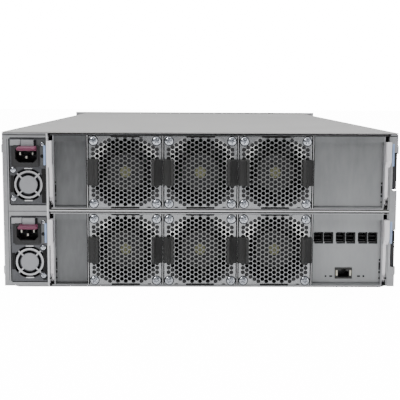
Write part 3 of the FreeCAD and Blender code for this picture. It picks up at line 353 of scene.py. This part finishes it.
divider_low, divider_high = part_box("bay_divider")
shelf_low, shelf_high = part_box("middle_shelf")
# Painted highlights on the folded edges of the divider and the middle shelf, and painted shadows along the
# shelf's upper and lower edges.
pad_on_face("divider_edge", divider_low.x, divider_high.x + 0.0006, divider_low.z, divider_high.z, rear,
            0.0002, highlight_steel, "chassis")
pad_on_face("shelf_edge", shelf_low.x + 0.002, shelf_high.x, shelf_low.z + 0.0011, shelf_high.z - 0.0010,
            rear, 0.0002, highlight_steel, "chassis")
for name, low, high in (("shelf_shadow_low", shelf_low.z - 0.0003, shelf_low.z + 0.0010),
                        ("shelf_shadow_high", shelf_high.z - 0.0010, shelf_high.z + 0.0003)):
    pad_on_face(name, shelf_low.x + 0.002, shelf_high.x, low, high, rear, 0.0003, shadow_brown, "chassis",
                0.0001)

# Painted shadows: dark seams where the bay shelves meet the power supplies.
levels = ("lower", "upper")
for level in levels:
    low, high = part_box(f"supply_{level}_case")
    for name, seam_low, seam_high in (("foot", low.z - 0.0012, low.z - 0.0002),
                                      ("head", high.z + 0.0002, high.z + 0.0012)):
        seam(f"supply_seam_{level}_{name}", low.x, high.x, seam_low, seam_high)
    seam(f"supply_seam_{level}_side", low.x - 0.0012, low.x - 0.0002, low.z, high.z)

# Square relief holes where the folds of divider, shelf and walls meet, and in the feet of the four levers:
# left, right, foot and top of each, and the body that it is in.
RELIEF_HOLES = (
    (-0.1692, -0.1670, 0.1700, 0.1729, "chassis"),
    (-0.1690, -0.1663, 0.0941, 0.0975, "lever_upper_left"),
    (-0.1691, -0.1664, 0.0885, 0.0930, "lever_upper_left"),
    (-0.1692, -0.1676, 0.0834, 0.0862, "chassis"),
    (-0.1698, -0.1670, 0.0091, 0.0108, "lever_lower_left"),
    (-0.1699, -0.1672, 0.0016, 0.0043, "chassis"),
    (0.2095, 0.2115, 0.1719, 0.1741, "chassis"),
    (0.2080, 0.2109, 0.0960, 0.0994, "lever_upper_right"),
    (0.2059, 0.2105, 0.0892, 0.0918, "chassis"),
    (0.2072, 0.2107, 0.0841, 0.0869, "chassis"),
    (0.2084, 0.2118, 0.0098, 0.0115, "lever_lower_right"),
    (0.2062, 0.2109, 0.0016, 0.0043, "chassis"),
)
for number, (left, right, low, high, body) in enumerate(RELIEF_HOLES):
    pad_on_face(f"relief_hole_{number}", left, right, low, high, rear, 0.0001, black_opening_and_gap_shade, body,
                0.0002)

# A painted highlight on the outer edge of the left wall. Painted shadows as dark seams: under the cover's
# edge, down the inner edge of the left wall, and between the shelves.
lid_line = wall_high.z - 0.0024
wall_fold = -0.2151
pad_on_face("wall_edge_left", wall_low.x + 0.0003, wall_low.x + 0.0011, wall_low.z + 0.010,
            wall_high.z - 0.024, rear, 0.0003, highlight_steel, "chassis")
for name, left, right, low, high in (
        ("cover_seam", wall_low.x + 0.0012, -wall_low.x - 0.0012, lid_line, lid_line + 0.0010),
        ("wall_seam", wall_fold, wall_fold + 0.0005, wall_low.z + 0.006, lid_line - 0.004),
        ("bay_seam", wall_fold + 0.0011, divider_low.x, shelf_low.z + 0.0008, shelf_low.z + 0.0014)):
    seam(name, left, right, low, high)

# ------------------------------------------------------------------ top cover
# One flat sheet, plated a touch warmer and smoother than the chassis, that slides back over the drive bay.
cover_steel = plated_steel("cover steel", (0.33, 0.325, 0.318), (0.40, 0.395, 0.387), 0.42, 0.3)
finish_node(cover_steel, "top_cover")

# ------------------------------------------------------------------ slide members
# Bright rolled steel rails riveted into the recesses of both side walls; the grain runs along them.
rail_steel = plated_steel("rolled rail steel", (0.42, 0.42, 0.43), (0.55, 0.55, 0.56), 0.25, 0.7,
                          grain=(1, 0.02, 1))
finish_node(rail_steel, "slide_members")

# ------------------------------------------------------------------ front panel and handles
# Steel plate in the chassis plating, and folded flat-bar handles in a satin black powder coat with a fine
# orange-peel texture.
powder_coat = grained("black powder coat", 900, (0.035, 0.036, 0.038), (0.06, 0.06, 0.063), (0.42, 0.2),
                      bump=(0.00008, 0.5), clear=(0.3, 0.7), metallic=0.0)
finish_node(powder_coat, "front_handles")
finish_node(chassis_steel, "front_panel")

# ------------------------------------------------------------------ drive bay
# Cast drive bodies standing in rows on green socket boards, and the green midplane behind the canisters.
cast_metal = plated_steel("cast drive body", (0.24, 0.245, 0.25), (0.34, 0.345, 0.35), 0.42, 0.7)
finish_node(cast_metal, "disk_drives")

solder_mask, wire, plug = new_finish("green solder mask", coat_weight=0.4)
trace = texture_at(wire, "ShaderNodeTexBrick", 60, settings={"offset": 0.5},
                   inputs={"Mortar Size": 0.04, "Brick Width": 0.5, "Row Height": 0.12}, output=1)
plug("Base Color", trace.mixed((0.015, 0.075, 0.03), (0.03, 0.13, 0.055)))
plug("Roughness", 0.38 + trace * 0.15)
finish_node(solder_mask, "socket_boards", "midplane", "canister_upper_board", "canister_lower_board")

# ------------------------------------------------------------------ canisters
# Folded trays with lids; blank panels recessed in their ends, and one panel with the connectors.
# The panels are zinc plate with painted light and shade, lighter to the right and darker upwards, with
# latch slots punched at both ends.
panel_steel, wire, plug = new_finish("panel steel")
cloud = texture_at(wire, "ShaderNodeTexNoise", 14, (1, 1, 0.4), inputs={"Detail": 3})
rolled = texture_at(wire, "ShaderNodeTexNoise", 260, (1, 1, 0.25), inputs={"Detail": 3})
# Painted light and shade: the colour grows lighter to the right and darker upwards.
painted_light_slope = (along(wire, "X") - along(wire, "Z") * 0.8).clamped(-0.3, 0.2)
shade = cloud.clamped(0.25, 0.75) * 0.4 + rolled.clamped(0.2, 0.8) * 0.12 + painted_light_slope * 0.7
plug("Base Color", shade.mixed((0.035, 0.036, 0.037), (0.30, 0.305, 0.31)))
plug("Metallic", 0.75)
plug("Roughness", 0.26 + rolled * 0.16)
plug("Normal", bumped(wire, rolled, 0.00004, 0.5))
for level in levels:
    finish_node(chassis_steel, f"canister_{level}_tray", f"canister_{level}_cover")
    finish_node(panel_steel, f"canister_{level}_panels")

MARK_WIDTH = 0.0019
MARKS = ((0.0072, 0.0016), (0.0136, 0.0026), (0.0178, 0.0086), (0.0282, 0.0020))
for level in levels:
    tray_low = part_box(f"canister_{level}_tray")[0]
    panels_low, panels_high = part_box(f"canister_{level}_panels")
    recess = panels_high.y - 0.0018
    for side, x in (("left", panels_low.x - 0.0006), ("right", panels_high.x - 0.0014)):
        for number, (rise, tall) in enumerate(MARKS):
            low = tray_low.z + rise
            pad_on_face(f"latch_slot_{level}_{side}_{number}", x, x + MARK_WIDTH, low, low + tall, recess,
                        0.0001, black_opening_and_gap_shade, f"canister_{level}")

# Folded rails between the fan bays: a painted highlight on the edge and a painted shadow seam on each side.
FAN_PITCH = 0.084
for level in levels:
    tray_low, tray_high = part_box(f"canister_{level}_tray")
    for number in range(4):
        x = FAN_PITCH * (number - 1.5)
        for name, left, right, material in (("edge", -0.0004, 0.0004, highlight_steel),
                                            ("seam_left", -0.0013, -0.0005, black_opening_and_gap_shade),
                                            ("seam_right", 0.0005, 0.0013, black_opening_and_gap_shade)):
            pad_on_face(f"rail_{level}_{number}_{name}", x + left, x + right, tray_low.z + 0.0012,
                        tray_high.z, rear, 0.0004, material, f"canister_{level}", 0.0001)

# ------------------------------------------------------------------ connectors
# Six black cable cages in three pairs, and a shielded network jack with a light pipe on each side.
# Four small pierced marks stand in line beside the jack.
moulded_black = grained("black moulding", 2200, (0.010, 0.010, 0.011), (0.022, 0.022, 0.023), (0.45, 0.2),
                        bump=(0.00004, 0.4), detail=1)
finish_node(moulded_black, "expansion_ports", "network_jack")
jack_shell = plated_steel("dulled jack shell", (0.03, 0.029, 0.026), (0.07, 0.068, 0.06), 0.35, 0.7)

ports_low, ports_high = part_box("expansion_ports")
cage_width, cage_step, port_step = 0.0224, 0.0251, 0.0114
first_pair = ports_low.x + cage_width / 2 + 0.0006
port_middles = [first_pair + cage_step * (number // 2) + port_step * (number % 2 - 0.5)
                for number in range(6)]
for number, middle in enumerate(port_middles):
    for rise in (0.0026, 0.0068):
        z = ports_low.z + rise
        pad_on_face(f"port_tongue_{number}_{rise * 1e4:.0f}", middle - 0.0036, middle + 0.0036, z,
                    z + 0.0009, ports_low.y + 0.003, 0.0022, moulded_black, "canister_lower")

jack_low, jack_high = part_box("network_jack")
jack_z = (jack_low.z + jack_high.z) / 2
light_pipe = grained("cream light pipe", 700, (0.42, 0.40, 0.32), (0.62, 0.60, 0.5), roughness=0.3,
                     coat_weight=0.3)
for side, x in (("left", jack_low.x + 0.0009), ("right", jack_high.x - 0.0029)):
    pad_on_face(f"light_pipe_{side}", x, x + 0.0020, jack_z - 0.0028, jack_z + 0.0036, jack_low.y, 0.0003,
                light_pipe, "canister_lower")

for name, left, right, low, high in (
        ("top", jack_low.x, jack_high.x, jack_high.z - 0.0009, jack_high.z),
        ("foot", jack_low.x, jack_high.x, jack_low.z, jack_low.z + 0.0012),
        ("left", jack_low.x, jack_low.x + 0.0008, jack_low.z, jack_high.z),
        ("right", jack_high.x - 0.0008, jack_high.x, jack_low.z, jack_high.z)):
    pad_on_face(f"jack_shell_{name}", left, right, low, high, jack_low.y, 0.0002, jack_shell,
                "canister_lower", 0.0002)

panel_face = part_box("canister_lower_panels")[1].y - 0.0012
mark_z = 0.0117
for number, (x, wide, tall) in enumerate(((0.1434, 0.0020, 0.0018), (0.1494, 0.0034, 0.0017),
                                          (0.1811, 0.0034, 0.0017), (0.1867, 0.0021, 0.0021))):
    pad_on_face(f"pierced_mark_{number}", x - wide / 2, x + wide / 2, mark_z - tall / 2, mark_z + tall / 2,
                panel_face, 0.0003, black_opening_and_gap_shade, "canister_lower", 0.0005)

# The moulded fronts of the ports are drawn a little wider than their cages.
for number, middle in enumerate(port_middles):
    mouth = rounded(middle - 0.0040, middle + 0.0040, ports_low.z + 0.0008, ports_high.z - 0.0008, 0.0003)
    lips = rounded(middle - 0.0042, middle + 0.0058, ports_low.z - 0.0012, ports_high.z - 0.0002, 0.0003)
    framed(f"port_lips_{number}", lips, mouth, panel_face - 0.0003, panel_face + 0.0003, black_opening_and_gap_shade,
           "canister_lower")

# ------------------------------------------------------------------ ejector levers
# Bright stamped steel, nearly white on the faces of the tabs and cool blue on their outer sides.
lever_steel = grained("stamped lever steel", 600, (0.74, 0.72, 0.74), (0.86, 0.84, 0.86), (0.35, 0.15),
                      bump=(0.00003, 0.4), stretch=(1, 1, 0.1), clear=(0.3, 0.7), metallic=0.15)
finish_node(lever_steel, *(f"lever_{level}_{side}" for level in levels for side in ("left", "right")))
for level in levels:
    lever_low, lever_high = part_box(f"lever_{level}_left")
    pad_on_face(f"lever_tab_{level}", lever_low.x, lever_low.x + 0.0055, lever_high.z - 0.0290,
                lever_high.z - 0.0006, lever_low.y, 0.0003, lever_steel, f"lever_{level}_left")

cool_steel = grained("cool spring steel", 500, (0.26, 0.38, 0.62), (0.40, 0.52, 0.78), (0.3, 0.15),
                     stretch=(1, 1, 0.15), metallic=0.2)

# Beside each right-hand lever a spring strip lies on the wall's flange, and a black block in the notch is
# its painted shadow.
notch_shadow_black = grained("painted notch shadow", 1100, (0.008, 0.008, 0.010), (0.018, 0.018, 0.021), (0.6, 0.2))
STRIP_LEFT, STRIP_RIGHT = 0.2142, 0.2166
wall_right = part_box("side_wall_right")[1].x
for level in levels:
    lever_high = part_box(f"lever_{level}_right")[1]
    pad_on_face(f"spring_strip_{level}", STRIP_LEFT, STRIP_RIGHT, lever_high.z - 0.027,
                lever_high.z - 0.002, rear, 0.0006, cool_steel, "chassis")
    notch_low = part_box(f"canister_{level}_tray")[0].z + 0.0217
    # Painted shadow: a dark block filling the notch in the wall's flange.
    notch_outline = rounded(wall_right - 0.0049, wall_right - 0.0002, notch_low + 0.001, notch_low + 0.0418, 0.001)
    points, faces = carried(notch_outline, rear + 0.0016, rear + 0.012, 0.0006, 1)
    add_piece(f"rail_stop_{level}", points, faces, notch_shadow_black, "chassis")

# ------------------------------------------------------------------ fan guard plates
# One stamped sheet per fan module: a field of round holes on a hexagonal grid in 17 columns, folded sides,
# and a short notch at top and bottom. Each is held by four dome-headed cross-recess screws.
HOLE_ROWS = (11, 12, 13, 14, 15, 14, 15, 14, 15, 14, 15, 14, 15, 14, 13, 12, 11)
HOLE_PITCH, HOLE_RADIUS, HOLE_EASE = 0.00513, 0.00225, 0.00012
NOTCH_HALF, NOTCH_DEEP = 0.0158, 0.0011
FOLD, THICK = 0.0012, 0.001
CELL_POINTS = 12

# Painted light and shade on the sheet: darker in the middle of each plate, lighter towards its corners,
# with painted glints near its upper corners.
plate_steel, wire, plug = new_finish("plate steel")
LOWER_ROW, ROW_PITCH = 0.0452, 0.0884
aside = from_nearest(along(wire, "X"), FAN_PITCH)
aloft = from_nearest(along(wire, "Z") - LOWER_ROW, ROW_PITCH)
radius = wire.math("SQRT", aside * aside + aloft * aloft)
# Painted glints: near the upper corners of each plate the colour is mixed to near white.
corner = wire.math("ABSOLUTE", aside).clamped(0.014, 0.026) * radius.clamped(0.027, 0.033)
corner = corner * radius.clamped(0.041, 0.037)
upper = aloft.clamped(-0.012, 0.010)
glint = texture_at(wire, "ShaderNodeTexNoise", 70, inputs={"Detail": 2}).clamped(0.38, 0.50)
fleck = texture_at(wire, "ShaderNodeTexNoise", 900, inputs={"Detail": 2})
# Painted shade: darker in the middle of each plate, lighter outwards.
shade = radius.clamped(0.020, 0.047) * 0.75 + fleck * 0.25
painted_shade_base = shade.mixed((0.22, 0.22, 0.217), (0.38, 0.385, 0.395))
plug("Base Color", (corner * upper * glint).mixed(painted_shade_base, (1.0, 1.0, 0.98)))
plug("Metallic", 0.8)
plug("Roughness", 0.30 - shade * 0.06)
plug("Normal", bumped(wire, fleck, 0.00003, 0.4))


def cell_centres(span, height):
    """Centres of a hexagonal grid about the origin, and whether each lies in the field of holes. Columns
    are the pitch times the cosine of 30 degrees apart, each shifted by half a pitch from the last."""
    column_step = HOLE_PITCH * math.cos(math.pi / 6)
    across = int(span / column_step) + 2
    upright = int(height / HOLE_PITCH) + 2
    columns, rows = np.meshgrid(np.arange(-across, across + 1), np.arange(-upright, upright + 1),
                                indexing="ij")
    centres = np.stack([columns * column_step, (rows + 0.5 * (columns % 2)) * HOLE_PITCH], -1)
    counts = np.zeros(2 * across + 1)
    counts[across - 8:across + 9] = HOLE_ROWS
    reach = counts[:, None] * HOLE_PITCH / 2
    return centres.reshape(-1, 2), (np.abs(centres[..., 1]) < reach).reshape(-1)


def guard_sheet(span, low, high, face):
    """A sheet of hexagonal cells. A pierced cell is five rings of points: hexagon, hole's eased rim, hole,
    hole at the back and hexagon at the back. A plain cell is the hexagon alone, front and back.
    Points past the sheet's edge are held to it."""
    centres, pierced = cell_centres(span, max(-low, high))
    here = np.arange(CELL_POINTS)
    after = (here + 1) % CELL_POINTS
    turns = here * math.pi / 6
    ring = np.stack([np.cos(turns), np.sin(turns)], 1)
    corner = HOLE_PITCH / math.sqrt(3)
    hexagon = ring * np.where(here % 2, HOLE_PITCH / 2, corner)[:, None]

    def held(flat):
        flat = flat.copy()
        notch = np.abs(flat[..., 0]) < NOTCH_HALF
        top = np.where(notch, high - NOTCH_DEEP, high)
        foot = np.where(notch, low + NOTCH_DEEP, low)
        flat[..., 0] = np.clip(flat[..., 0], -span, span)
        flat[..., 1] = np.clip(flat[..., 1], foot, top)
        return flat

    open_cells = centres[pierced][:, None, :]
    rings = [(hexagon, 0), (ring * (HOLE_RADIUS + HOLE_EASE), 0), (ring * HOLE_RADIUS, HOLE_EASE),
             (ring * HOLE_RADIUS, THICK), (hexagon, THICK)]
    stack = [np.insert(open_cells + flat, 1, face + deep, axis=2) for flat, deep in rings]
    points = np.stack(stack, 1).reshape(-1, 3)
    cell = np.arange(len(open_cells))[:, None, None] * CELL_POINTS * len(rings)
    first = cell + np.arange(len(rings) - 1)[:, None] * CELL_POINTS
    quads = np.stack([first + here, first + here + CELL_POINTS, first + after + CELL_POINTS,
                      first + after], -1)
    faces = quads.reshape(-1, 4).tolist()
    near = centres[~pierced]
    inside = np.abs(near[:, 0]) < span + corner
    inside &= (near[:, 1] > low - corner) & (near[:, 1] < high + corner)
    plain = held(near[inside][:, None, :] + hexagon)
    size = plain.max(1) - plain.min(1)
    plain = plain[(size > 1e-5).all(1)]
    for deep, order in ((0, slice(None)), (THICK, slice(None, None, -1))):
        start = len(points)
        layer = np.insert(plain, 1, face + deep, axis=2)
        points = np.concatenate([points, layer.reshape(-1, 3)])
        faces += (start + np.arange(len(plain))[:, None] * CELL_POINTS + here[order]).tolist()
    return points, faces


def folded_side(span, low, high, face, back, hand):
    """A side return: a quarter-round fold, then straight back. The section is carried up the plate."""
    turns = np.linspace(0, math.pi / 2, 6)
    bend = FOLD - THICK
    outer = np.stack([span + FOLD * np.sin(turns), face + FOLD * (1 - np.cos(turns))], 1)
    inner = np.stack([span + bend * np.sin(turns), face + FOLD - bend * np.cos(turns)], 1)
    outline = np.concatenate([outer, [[span + FOLD, back], [span + FOLD - THICK, back]], inner[::-1]])
    outline[:, 0] *= hand
    return carried(outline, low, high, 0.0001, 2)


def dome_head(radius, height, cross, turn):
    """A dome whose height falls as the square root of one less the square of the radius, with a cross
    pressed into it: each arm is a groove that shallows outwards. The back is closed at the rim."""
    rings, sectors = 18, 48
    arm_half, arm_slope, arm_end, arm_fade = 0.13, 0.05, 0.62, 0.25
    out = np.linspace(0, 1, rings)[:, None] * np.ones(sectors)
    angle = np.linspace(0, 2 * math.pi, sectors, endpoint=False)[None, :] + turn
    x, z = out * np.cos(angle), out * np.sin(angle)
    dome = height * np.sqrt(np.clip(1 - out ** 2, 0, 1) * 0.92 + 0.08 * (out < 1))
    down_arm = np.maximum(np.abs(x), np.abs(z))
    off_arm = np.minimum(np.abs(x), np.abs(z))
    groove = np.clip((arm_half - off_arm) / arm_slope, 0, 1)
    groove = groove * np.clip((arm_end - down_arm) / arm_fade, 0, 1)
    deep = dome - groove * cross
    spun = angle - turn
    points = np.stack([radius * out * np.cos(spun), -deep, radius * out * np.sin(spun)], -1)
    here = np.arange(rings - 1)[:, None] * sectors + np.arange(sectors)
    after = np.arange(rings - 1)[:, None] * sectors + (np.arange(sectors) + 1) % sectors
    faces = np.stack([here, after, after + sectors, here + sectors], -1).reshape(-1, 4).tolist()
    faces.append(((rings - 1) * sectors + np.arange(sectors)).tolist())
    return points.reshape(-1, 3), faces


screw_steel = grained("bright screw plating", 300, (0.40, 0.42, 0.46), (0.52, 0.54, 0.58), (0.14, 0.06),
                      metallic=0.9, coat_weight=0.3)


def add_screw(name, x, face, z, radius, height, turn, body):
    """A domed screw head with a painted shadow line round its rim."""
    points, faces = dome_head(radius, height, height * 0.6, turn)
    add_piece(name, points + np.array([x, face, z]), faces, screw_steel, body, 50)
    framed(f"{name}_rim", circle_at(x, z, radius + 0.0006), circle_at(x, z, radius - 0.0006), face - 0.0001,
           face + 0.0002, black_opening_and_gap_shade, body)


SCREW_SPREAD, SCREW_RADIUS, SCREW_HEIGHT = 0.0350, 0.0049, 0.0024
fans = [f"fan_{number}" for number in range(1, 7)]
for index, fan in enumerate(fans):
    low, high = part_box(f"{fan}_plate")
    frame_low, frame_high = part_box(f"{fan}_frame")
    middle = np.array([(frame_low.x + frame_high.x) / 2, 0, (frame_low.z + frame_high.z) / 2])
    span = (high.x - low.x) / 2 - FOLD
    foot, top = low.z - middle[2], high.z - middle[2]
    points, faces = guard_sheet(span, foot, top, low.y)
    plate = add_piece(f"{fan}_guard", points + middle, faces, plate_steel, fan, 25)
    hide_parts(f"{fan}_plate")
    for name, hand in (("left", -1), ("right", 1)):
        points, faces = folded_side(span, foot, top, low.y, high.y, hand)
        add_piece(f"{fan}_fold_{name}", points + middle, faces, plate_steel, fan)
    # Painted shadows: black strips in the notches at the plate's foot and head.
    for name, z in (("foot", low.z - 0.0008), ("head", high.z - NOTCH_DEEP)):
        pad_on_face(f"{fan}_notch_{name}", middle[0] - NOTCH_HALF, middle[0] + NOTCH_HALF, z - 0.0003,
                    z + NOTCH_DEEP + 0.0001, low.y, 0.0001, black_opening_and_gap_shade, fan, 0.0001)
    for corner, (dx, dz) in enumerate(((-1, 1), (1, 1), (-1, -1), (1, -1))):
        turn = 0.6 * corner + 0.9 * index
        add_screw(f"{fan}_screw_{corner}", middle[0] + dx * SCREW_SPREAD, low.y,
                  middle[2] + dz * SCREW_SPREAD, SCREW_RADIUS, SCREW_HEIGHT, turn, fan)

# ------------------------------------------------------------------ fans
# Black glass-filled nylon frame and wheel; a plain greenish-yellow label covers the middle of each hub.
fan_nylon = grained("black nylon", 1800, (0.006, 0.006, 0.007), (0.018, 0.018, 0.019), (0.5, 0.15),
                    bump=(0.00003, 0.4), stretch=(1, 1, 0.4))
label_paper = grained("hub label paper", 400, (0.13, 0.13, 0.06), (0.2, 0.2, 0.11), detail=3, roughness=0.6)
for fan in fans:
    finish_node(fan_nylon, f"{fan}_frame", f"{fan}_rotor")
    hub_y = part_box(f"{fan}_rotor")[0].y
    frame_low, frame_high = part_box(f"{fan}_frame")
    circle = circle_at((frame_low.x + frame_high.x) / 2, (frame_low.z + frame_high.z) / 2, 0.0062)
    points, faces = carried(circle, hub_y - 0.0003, hub_y + 0.0002, 0.0001, 1)
    add_piece(f"{fan}_label", points, faces, label_paper, f"{fan}_rotor")

# ------------------------------------------------------------------ fan module pulls
# Dark grey moulded grips, two to a module: a rib along the inner side and a scoop that falls away to the
# edge. Painted shade darkens the nylon's colour towards the rail between two modules.
pull_nylon, wire, plug = new_finish("dark grey grip nylon")
grip = texture_at(wire, "ShaderNodeTexNoise", 2000, inputs={"Detail": 2})
beside = from_nearest(along(wire, "X"), FAN_PITCH)
# Painted shade: the mask falls to 0 towards the rails, darkening the colour there.
inner = beside.clamped(0.0405, 0.0335) * beside.clamped(-0.0425, -0.0385)
plug("Base Color", (inner * 0.9 + grip * 0.1).mixed((0.002, 0.002, 0.002), (0.020, 0.020, 0.0195)))
plug("Roughness", 0.62 + grip * 0.15)
plug("Normal", bumped(wire, grip, 0.00005, 0.45))


def pull_section(width, reach, hand):
    """Seen from above: up the inner side, over a rounded rib, then down a scoop. Across the scoop the
    height is the foot plus the rest times one less the root of one less the square of the share."""
    rib, foot, ease = 0.0030, 0.0035, 0.0007
    lip_wide, lip_deep = 0.0012, 0.0006
    share = np.linspace(1, 0, 14)
    scoop_x = rib + (1 - share) * (width - rib)
    scoop_y = foot + (reach - ease - foot) * (1 - np.sqrt(1 - share ** 2)) ** 0.8
    turns = np.linspace(0, math.pi / 2, 5)
    crown = np.stack([ease - ease * np.cos(turns), reach - ease + ease * np.sin(turns)], 1)
    shoulder = np.stack([rib - ease + ease * np.sin(turns), reach - ease + ease * np.cos(turns)], 1)
    lip = [[width, lip_deep], [width - lip_wide, lip_deep], [width - lip_wide, 0]]
    outline = np.concatenate([[[0, 0]], crown, shoulder, np.stack([scoop_x, scoop_y], 1)[1:], lip])
    return outline * np.array([hand, -1])


PULL_WIDTH, PULL_OVERHANG = 0.0121, 0.0009
for fan in fans:
    low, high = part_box(f"{fan}_pulls")
    for side, hand, edge in (("left", -1, low.x), ("right", 1, high.x)):
        inner = edge + hand * (PULL_OVERHANG - PULL_WIDTH)
        outline = pull_section(PULL_WIDTH, high.y - low.y, hand) + np.array([inner, high.y])
        points, faces = carried(outline, low.z, high.z, 0.0004, 2)
        pull = add_piece(f"{fan}_pull_{side}", points, faces, pull_nylon, fan, 30)
        if side == "left":
            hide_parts(f"{fan}_pulls")

# ------------------------------------------------------------------ power supplies
# Steel cases with a punched fan guard. Above it sit a charcoal mains inlet with three tinned pins, a
# maroon release tab on a steel leaf, a screw and a small round window for the status light.
case_steel = plated_steel("supply case steel", (0.055, 0.056, 0.06), (0.13, 0.132, 0.14), 0.26, 0.8)
disc_steel = plated_steel("pressed guard steel", (0.27, 0.272, 0.285), (0.34, 0.343, 0.36), 0.32, 0.5)
charcoal = grained("charcoal inlet moulding", 2400, (0.012, 0.012, 0.0125), (0.022, 0.022, 0.0225),
                   (0.5, 0.2), bump=(0.00004, 0.4), detail=1)
maroon = grained("maroon release tab", 1500, (0.105, 0.018, 0.046), (0.16, 0.030, 0.072), (0.42, 0.2),
                 bump=(0.00004, 0.4), coat_weight=0.15)
tinned = grained("tinned pin", 1200, (0.7, 0.68, 0.6), (0.85, 0.83, 0.74), (0.25, 0.2),
                 stretch=(1, 0.05, 1), metallic=0.8)

# The three pins: sideways and upward from the middle of the inlet, and width.
PINS = ((-0.00696, 0, 0.0017), (0.00696, 0, 0.0017), (0, -0.004, 0.0019))


def case_pad(body, name, left, right, foot, top, proud, material, radius=0.0004):
    """A pad on the face of a supply, its heights measured from the foot of the case."""
    floor_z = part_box(f"{body}_case")[0].z
    pad_on_face(f"{body}_{name}", left, right, floor_z + foot, floor_z + top, rear, proud, material, body,
                radius)


for level in levels:
    body, slot = f"supply_{level}", "zinc_steel"
    finish_node(case_steel, f"{body}_case")
    finish_node(fan_nylon, f"{body}_rotor")
    finish_node(charcoal, f"{body}_inlet")
    low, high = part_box(f"{body}_case")
    floor_z = low.z

    # release tab: a tapered grip with rounded edges, and the steel leaf that it is moulded on
    tab_low, tab_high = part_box(f"{body}_tab")
    inlet_low, inlet_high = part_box(f"{body}_inlet")
    grip_top = tab_low.z + 0.0055
    near = inlet_low.y - 0.00035
    grip = [(tab_low.y, tab_low.z + 0.0017), (tab_low.y + 0.0006, tab_low.z + 0.0011), (near, tab_low.z),
            (near, grip_top), (tab_low.y + 0.0006, grip_top - 0.0011), (tab_low.y, grip_top - 0.0017)]
    points, faces = carried(grip, tab_low.x, tab_high.x, 0.0008, 0)
    tab = add_piece(f"{body}_grip", points, faces, maroon, f"{body}_tab", 30)
    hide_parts(f"{body}_tab")
    leaf = [(near, grip_top - 0.0008), (near, tab_high.z - 0.0014), (tab_high.y, tab_high.z - 0.0014),
            (tab_high.y, tab_high.z), (near - 0.0012, tab_high.z), (near - 0.0012, grip_top - 0.0008)]
    points, faces = carried(leaf, tab_low.x + 0.0035, tab_high.x - 0.0035, 0.0002, 0)
    add_piece(f"{body}_leaf", points, faces, chassis_steel, f"{body}_tab")

    # details of the face: catch, leaf slot, screw, light window, and a spring strip at the right edge
    case_pad(body, "catch", low.x + 0.0006, low.x + 0.0122, 0.0657, 0.0722, 0.0008, chassis_steel)
    case_pad(body, "leaf_slot", tab_high.x - 0.0030, tab_high.x - 0.0008, 0.0645, 0.0722, 0.0001, black_opening_and_gap_shade)
    case_pad(body, "right_strip", tab_high.x, high.x - 0.0002, 0.0435, 0.0722, 0.0001, panel_steel)
    add_screw(f"{body}_screw", high.x - 0.0037, rear, floor_z + 0.0672, 0.0021, 0.0008, 0.3, body)
    case_pad(body, "light", high.x - 0.0060, high.x - 0.0020, 0.0520, 0.0560, 0.0003, black_opening_and_gap_shade, 0.0018)
    case_pad(body, "spring", high.x - 0.0026, high.x - 0.0002, 0.0440, 0.0660, 0.0004, cool_steel)

    # dark moulded surround of the inlet, wider than the socket on both sides
    rim = 0.0006
    socket = rounded(inlet_low.x + rim, inlet_high.x - rim, inlet_low.z + rim, inlet_high.z - rim, 0.0008)
    surround = rounded(low.x + 0.0018, high.x - 0.0062, floor_z + 0.0432, floor_z + 0.0655, 0.0008)
    framed(f"{body}_surround", surround, socket, rear - 0.0002, rear + 0.0001, charcoal, body)

    # raised rings of the fan guard: a disc, a ring round it and four spokes, pressed brighter than the case
    rotor_low, rotor_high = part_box(f"{body}_rotor")
    hub_x, hub_z = (rotor_low.x + rotor_high.x) / 2, (rotor_low.z + rotor_high.z) / 2
    points, faces = carried(circle_at(hub_x, hub_z, 0.0099), rear - 0.0004, rear + 0.0002, 0.0002, 1)
    add_piece(f"{body}_guard_disc", points, faces, disc_steel, body)
    framed(f"{body}_guard_ring", circle_at(hub_x, hub_z, 0.0156, 96), circle_at(hub_x, hub_z, 0.0136, 96),
           rear - 0.0005, rear + 0.0002, rail_steel, body)
    for number in range(4):
        turn = math.pi / 4 + number * math.pi / 2
        bar = rounded(0.0096, 0.0176, -0.0008, 0.0008, 0.0003)
        bar = np.stack([hub_x + bar[:, 0] * math.cos(turn) - bar[:, 1] * math.sin(turn),
                        hub_z + bar[:, 0] * math.sin(turn) + bar[:, 1] * math.cos(turn)], 1)
        points, faces = carried(bar, rear - 0.0003, rear + 0.0002, 0.0002, 1)
        add_piece(f"{body}_guard_spoke_{number}", points, faces, rail_steel, body)

    # Painted highlights: short lighter lips above and below the guard.
    for name, rise in (("foot", -0.0186), ("head", 0.0174)):
        lip_z = hub_z + rise
        pad_on_face(f"{body}_guard_lip_{name}", hub_x - 0.0045, hub_x + 0.0045, lip_z, lip_z + 0.0012, rear,
                    0.0003, highlight_steel, body)

    # open corners beside the guard, and its two screws
    case_pad(body, "opening_left", low.x + 0.0003, low.x + 0.0040, 0.0135, 0.0325, 0.0001, black_opening_and_gap_shade)
    case_pad(body, "opening_right", high.x - 0.0050, high.x - 0.0004, 0.0015, 0.0400, 0.0001, black_opening_and_gap_shade)
    screw_x = low.x + 0.0035 if level == "upper" else high.x - 0.0044
    for number, rise in enumerate((0.0066, 0.0386)):
        add_screw(f"{body}_guard_screw_{number}", screw_x, rear, floor_z + rise, 0.0031, 0.0010,
                  0.4 + number, body)

    # inlet: three pins, standing a hair outside the moulded cores
    pin_x, pin_z = (inlet_low.x + inlet_high.x) / 2, inlet_low.z + 0.013
    for number, (dx, dz, wide) in enumerate(PINS):
        points, faces = carried(rounded(pin_x + dx - wide / 2, pin_x + dx + wide / 2, pin_z + dz + 0.0003,
                                        pin_z + dz + 0.0036, 0.0004),
                                inlet_low.y + 0.0022, inlet_low.y + 0.0175, 0.0005, 1)
        add_piece(f"{body}_pin_{number}", points, faces, tinned, body)
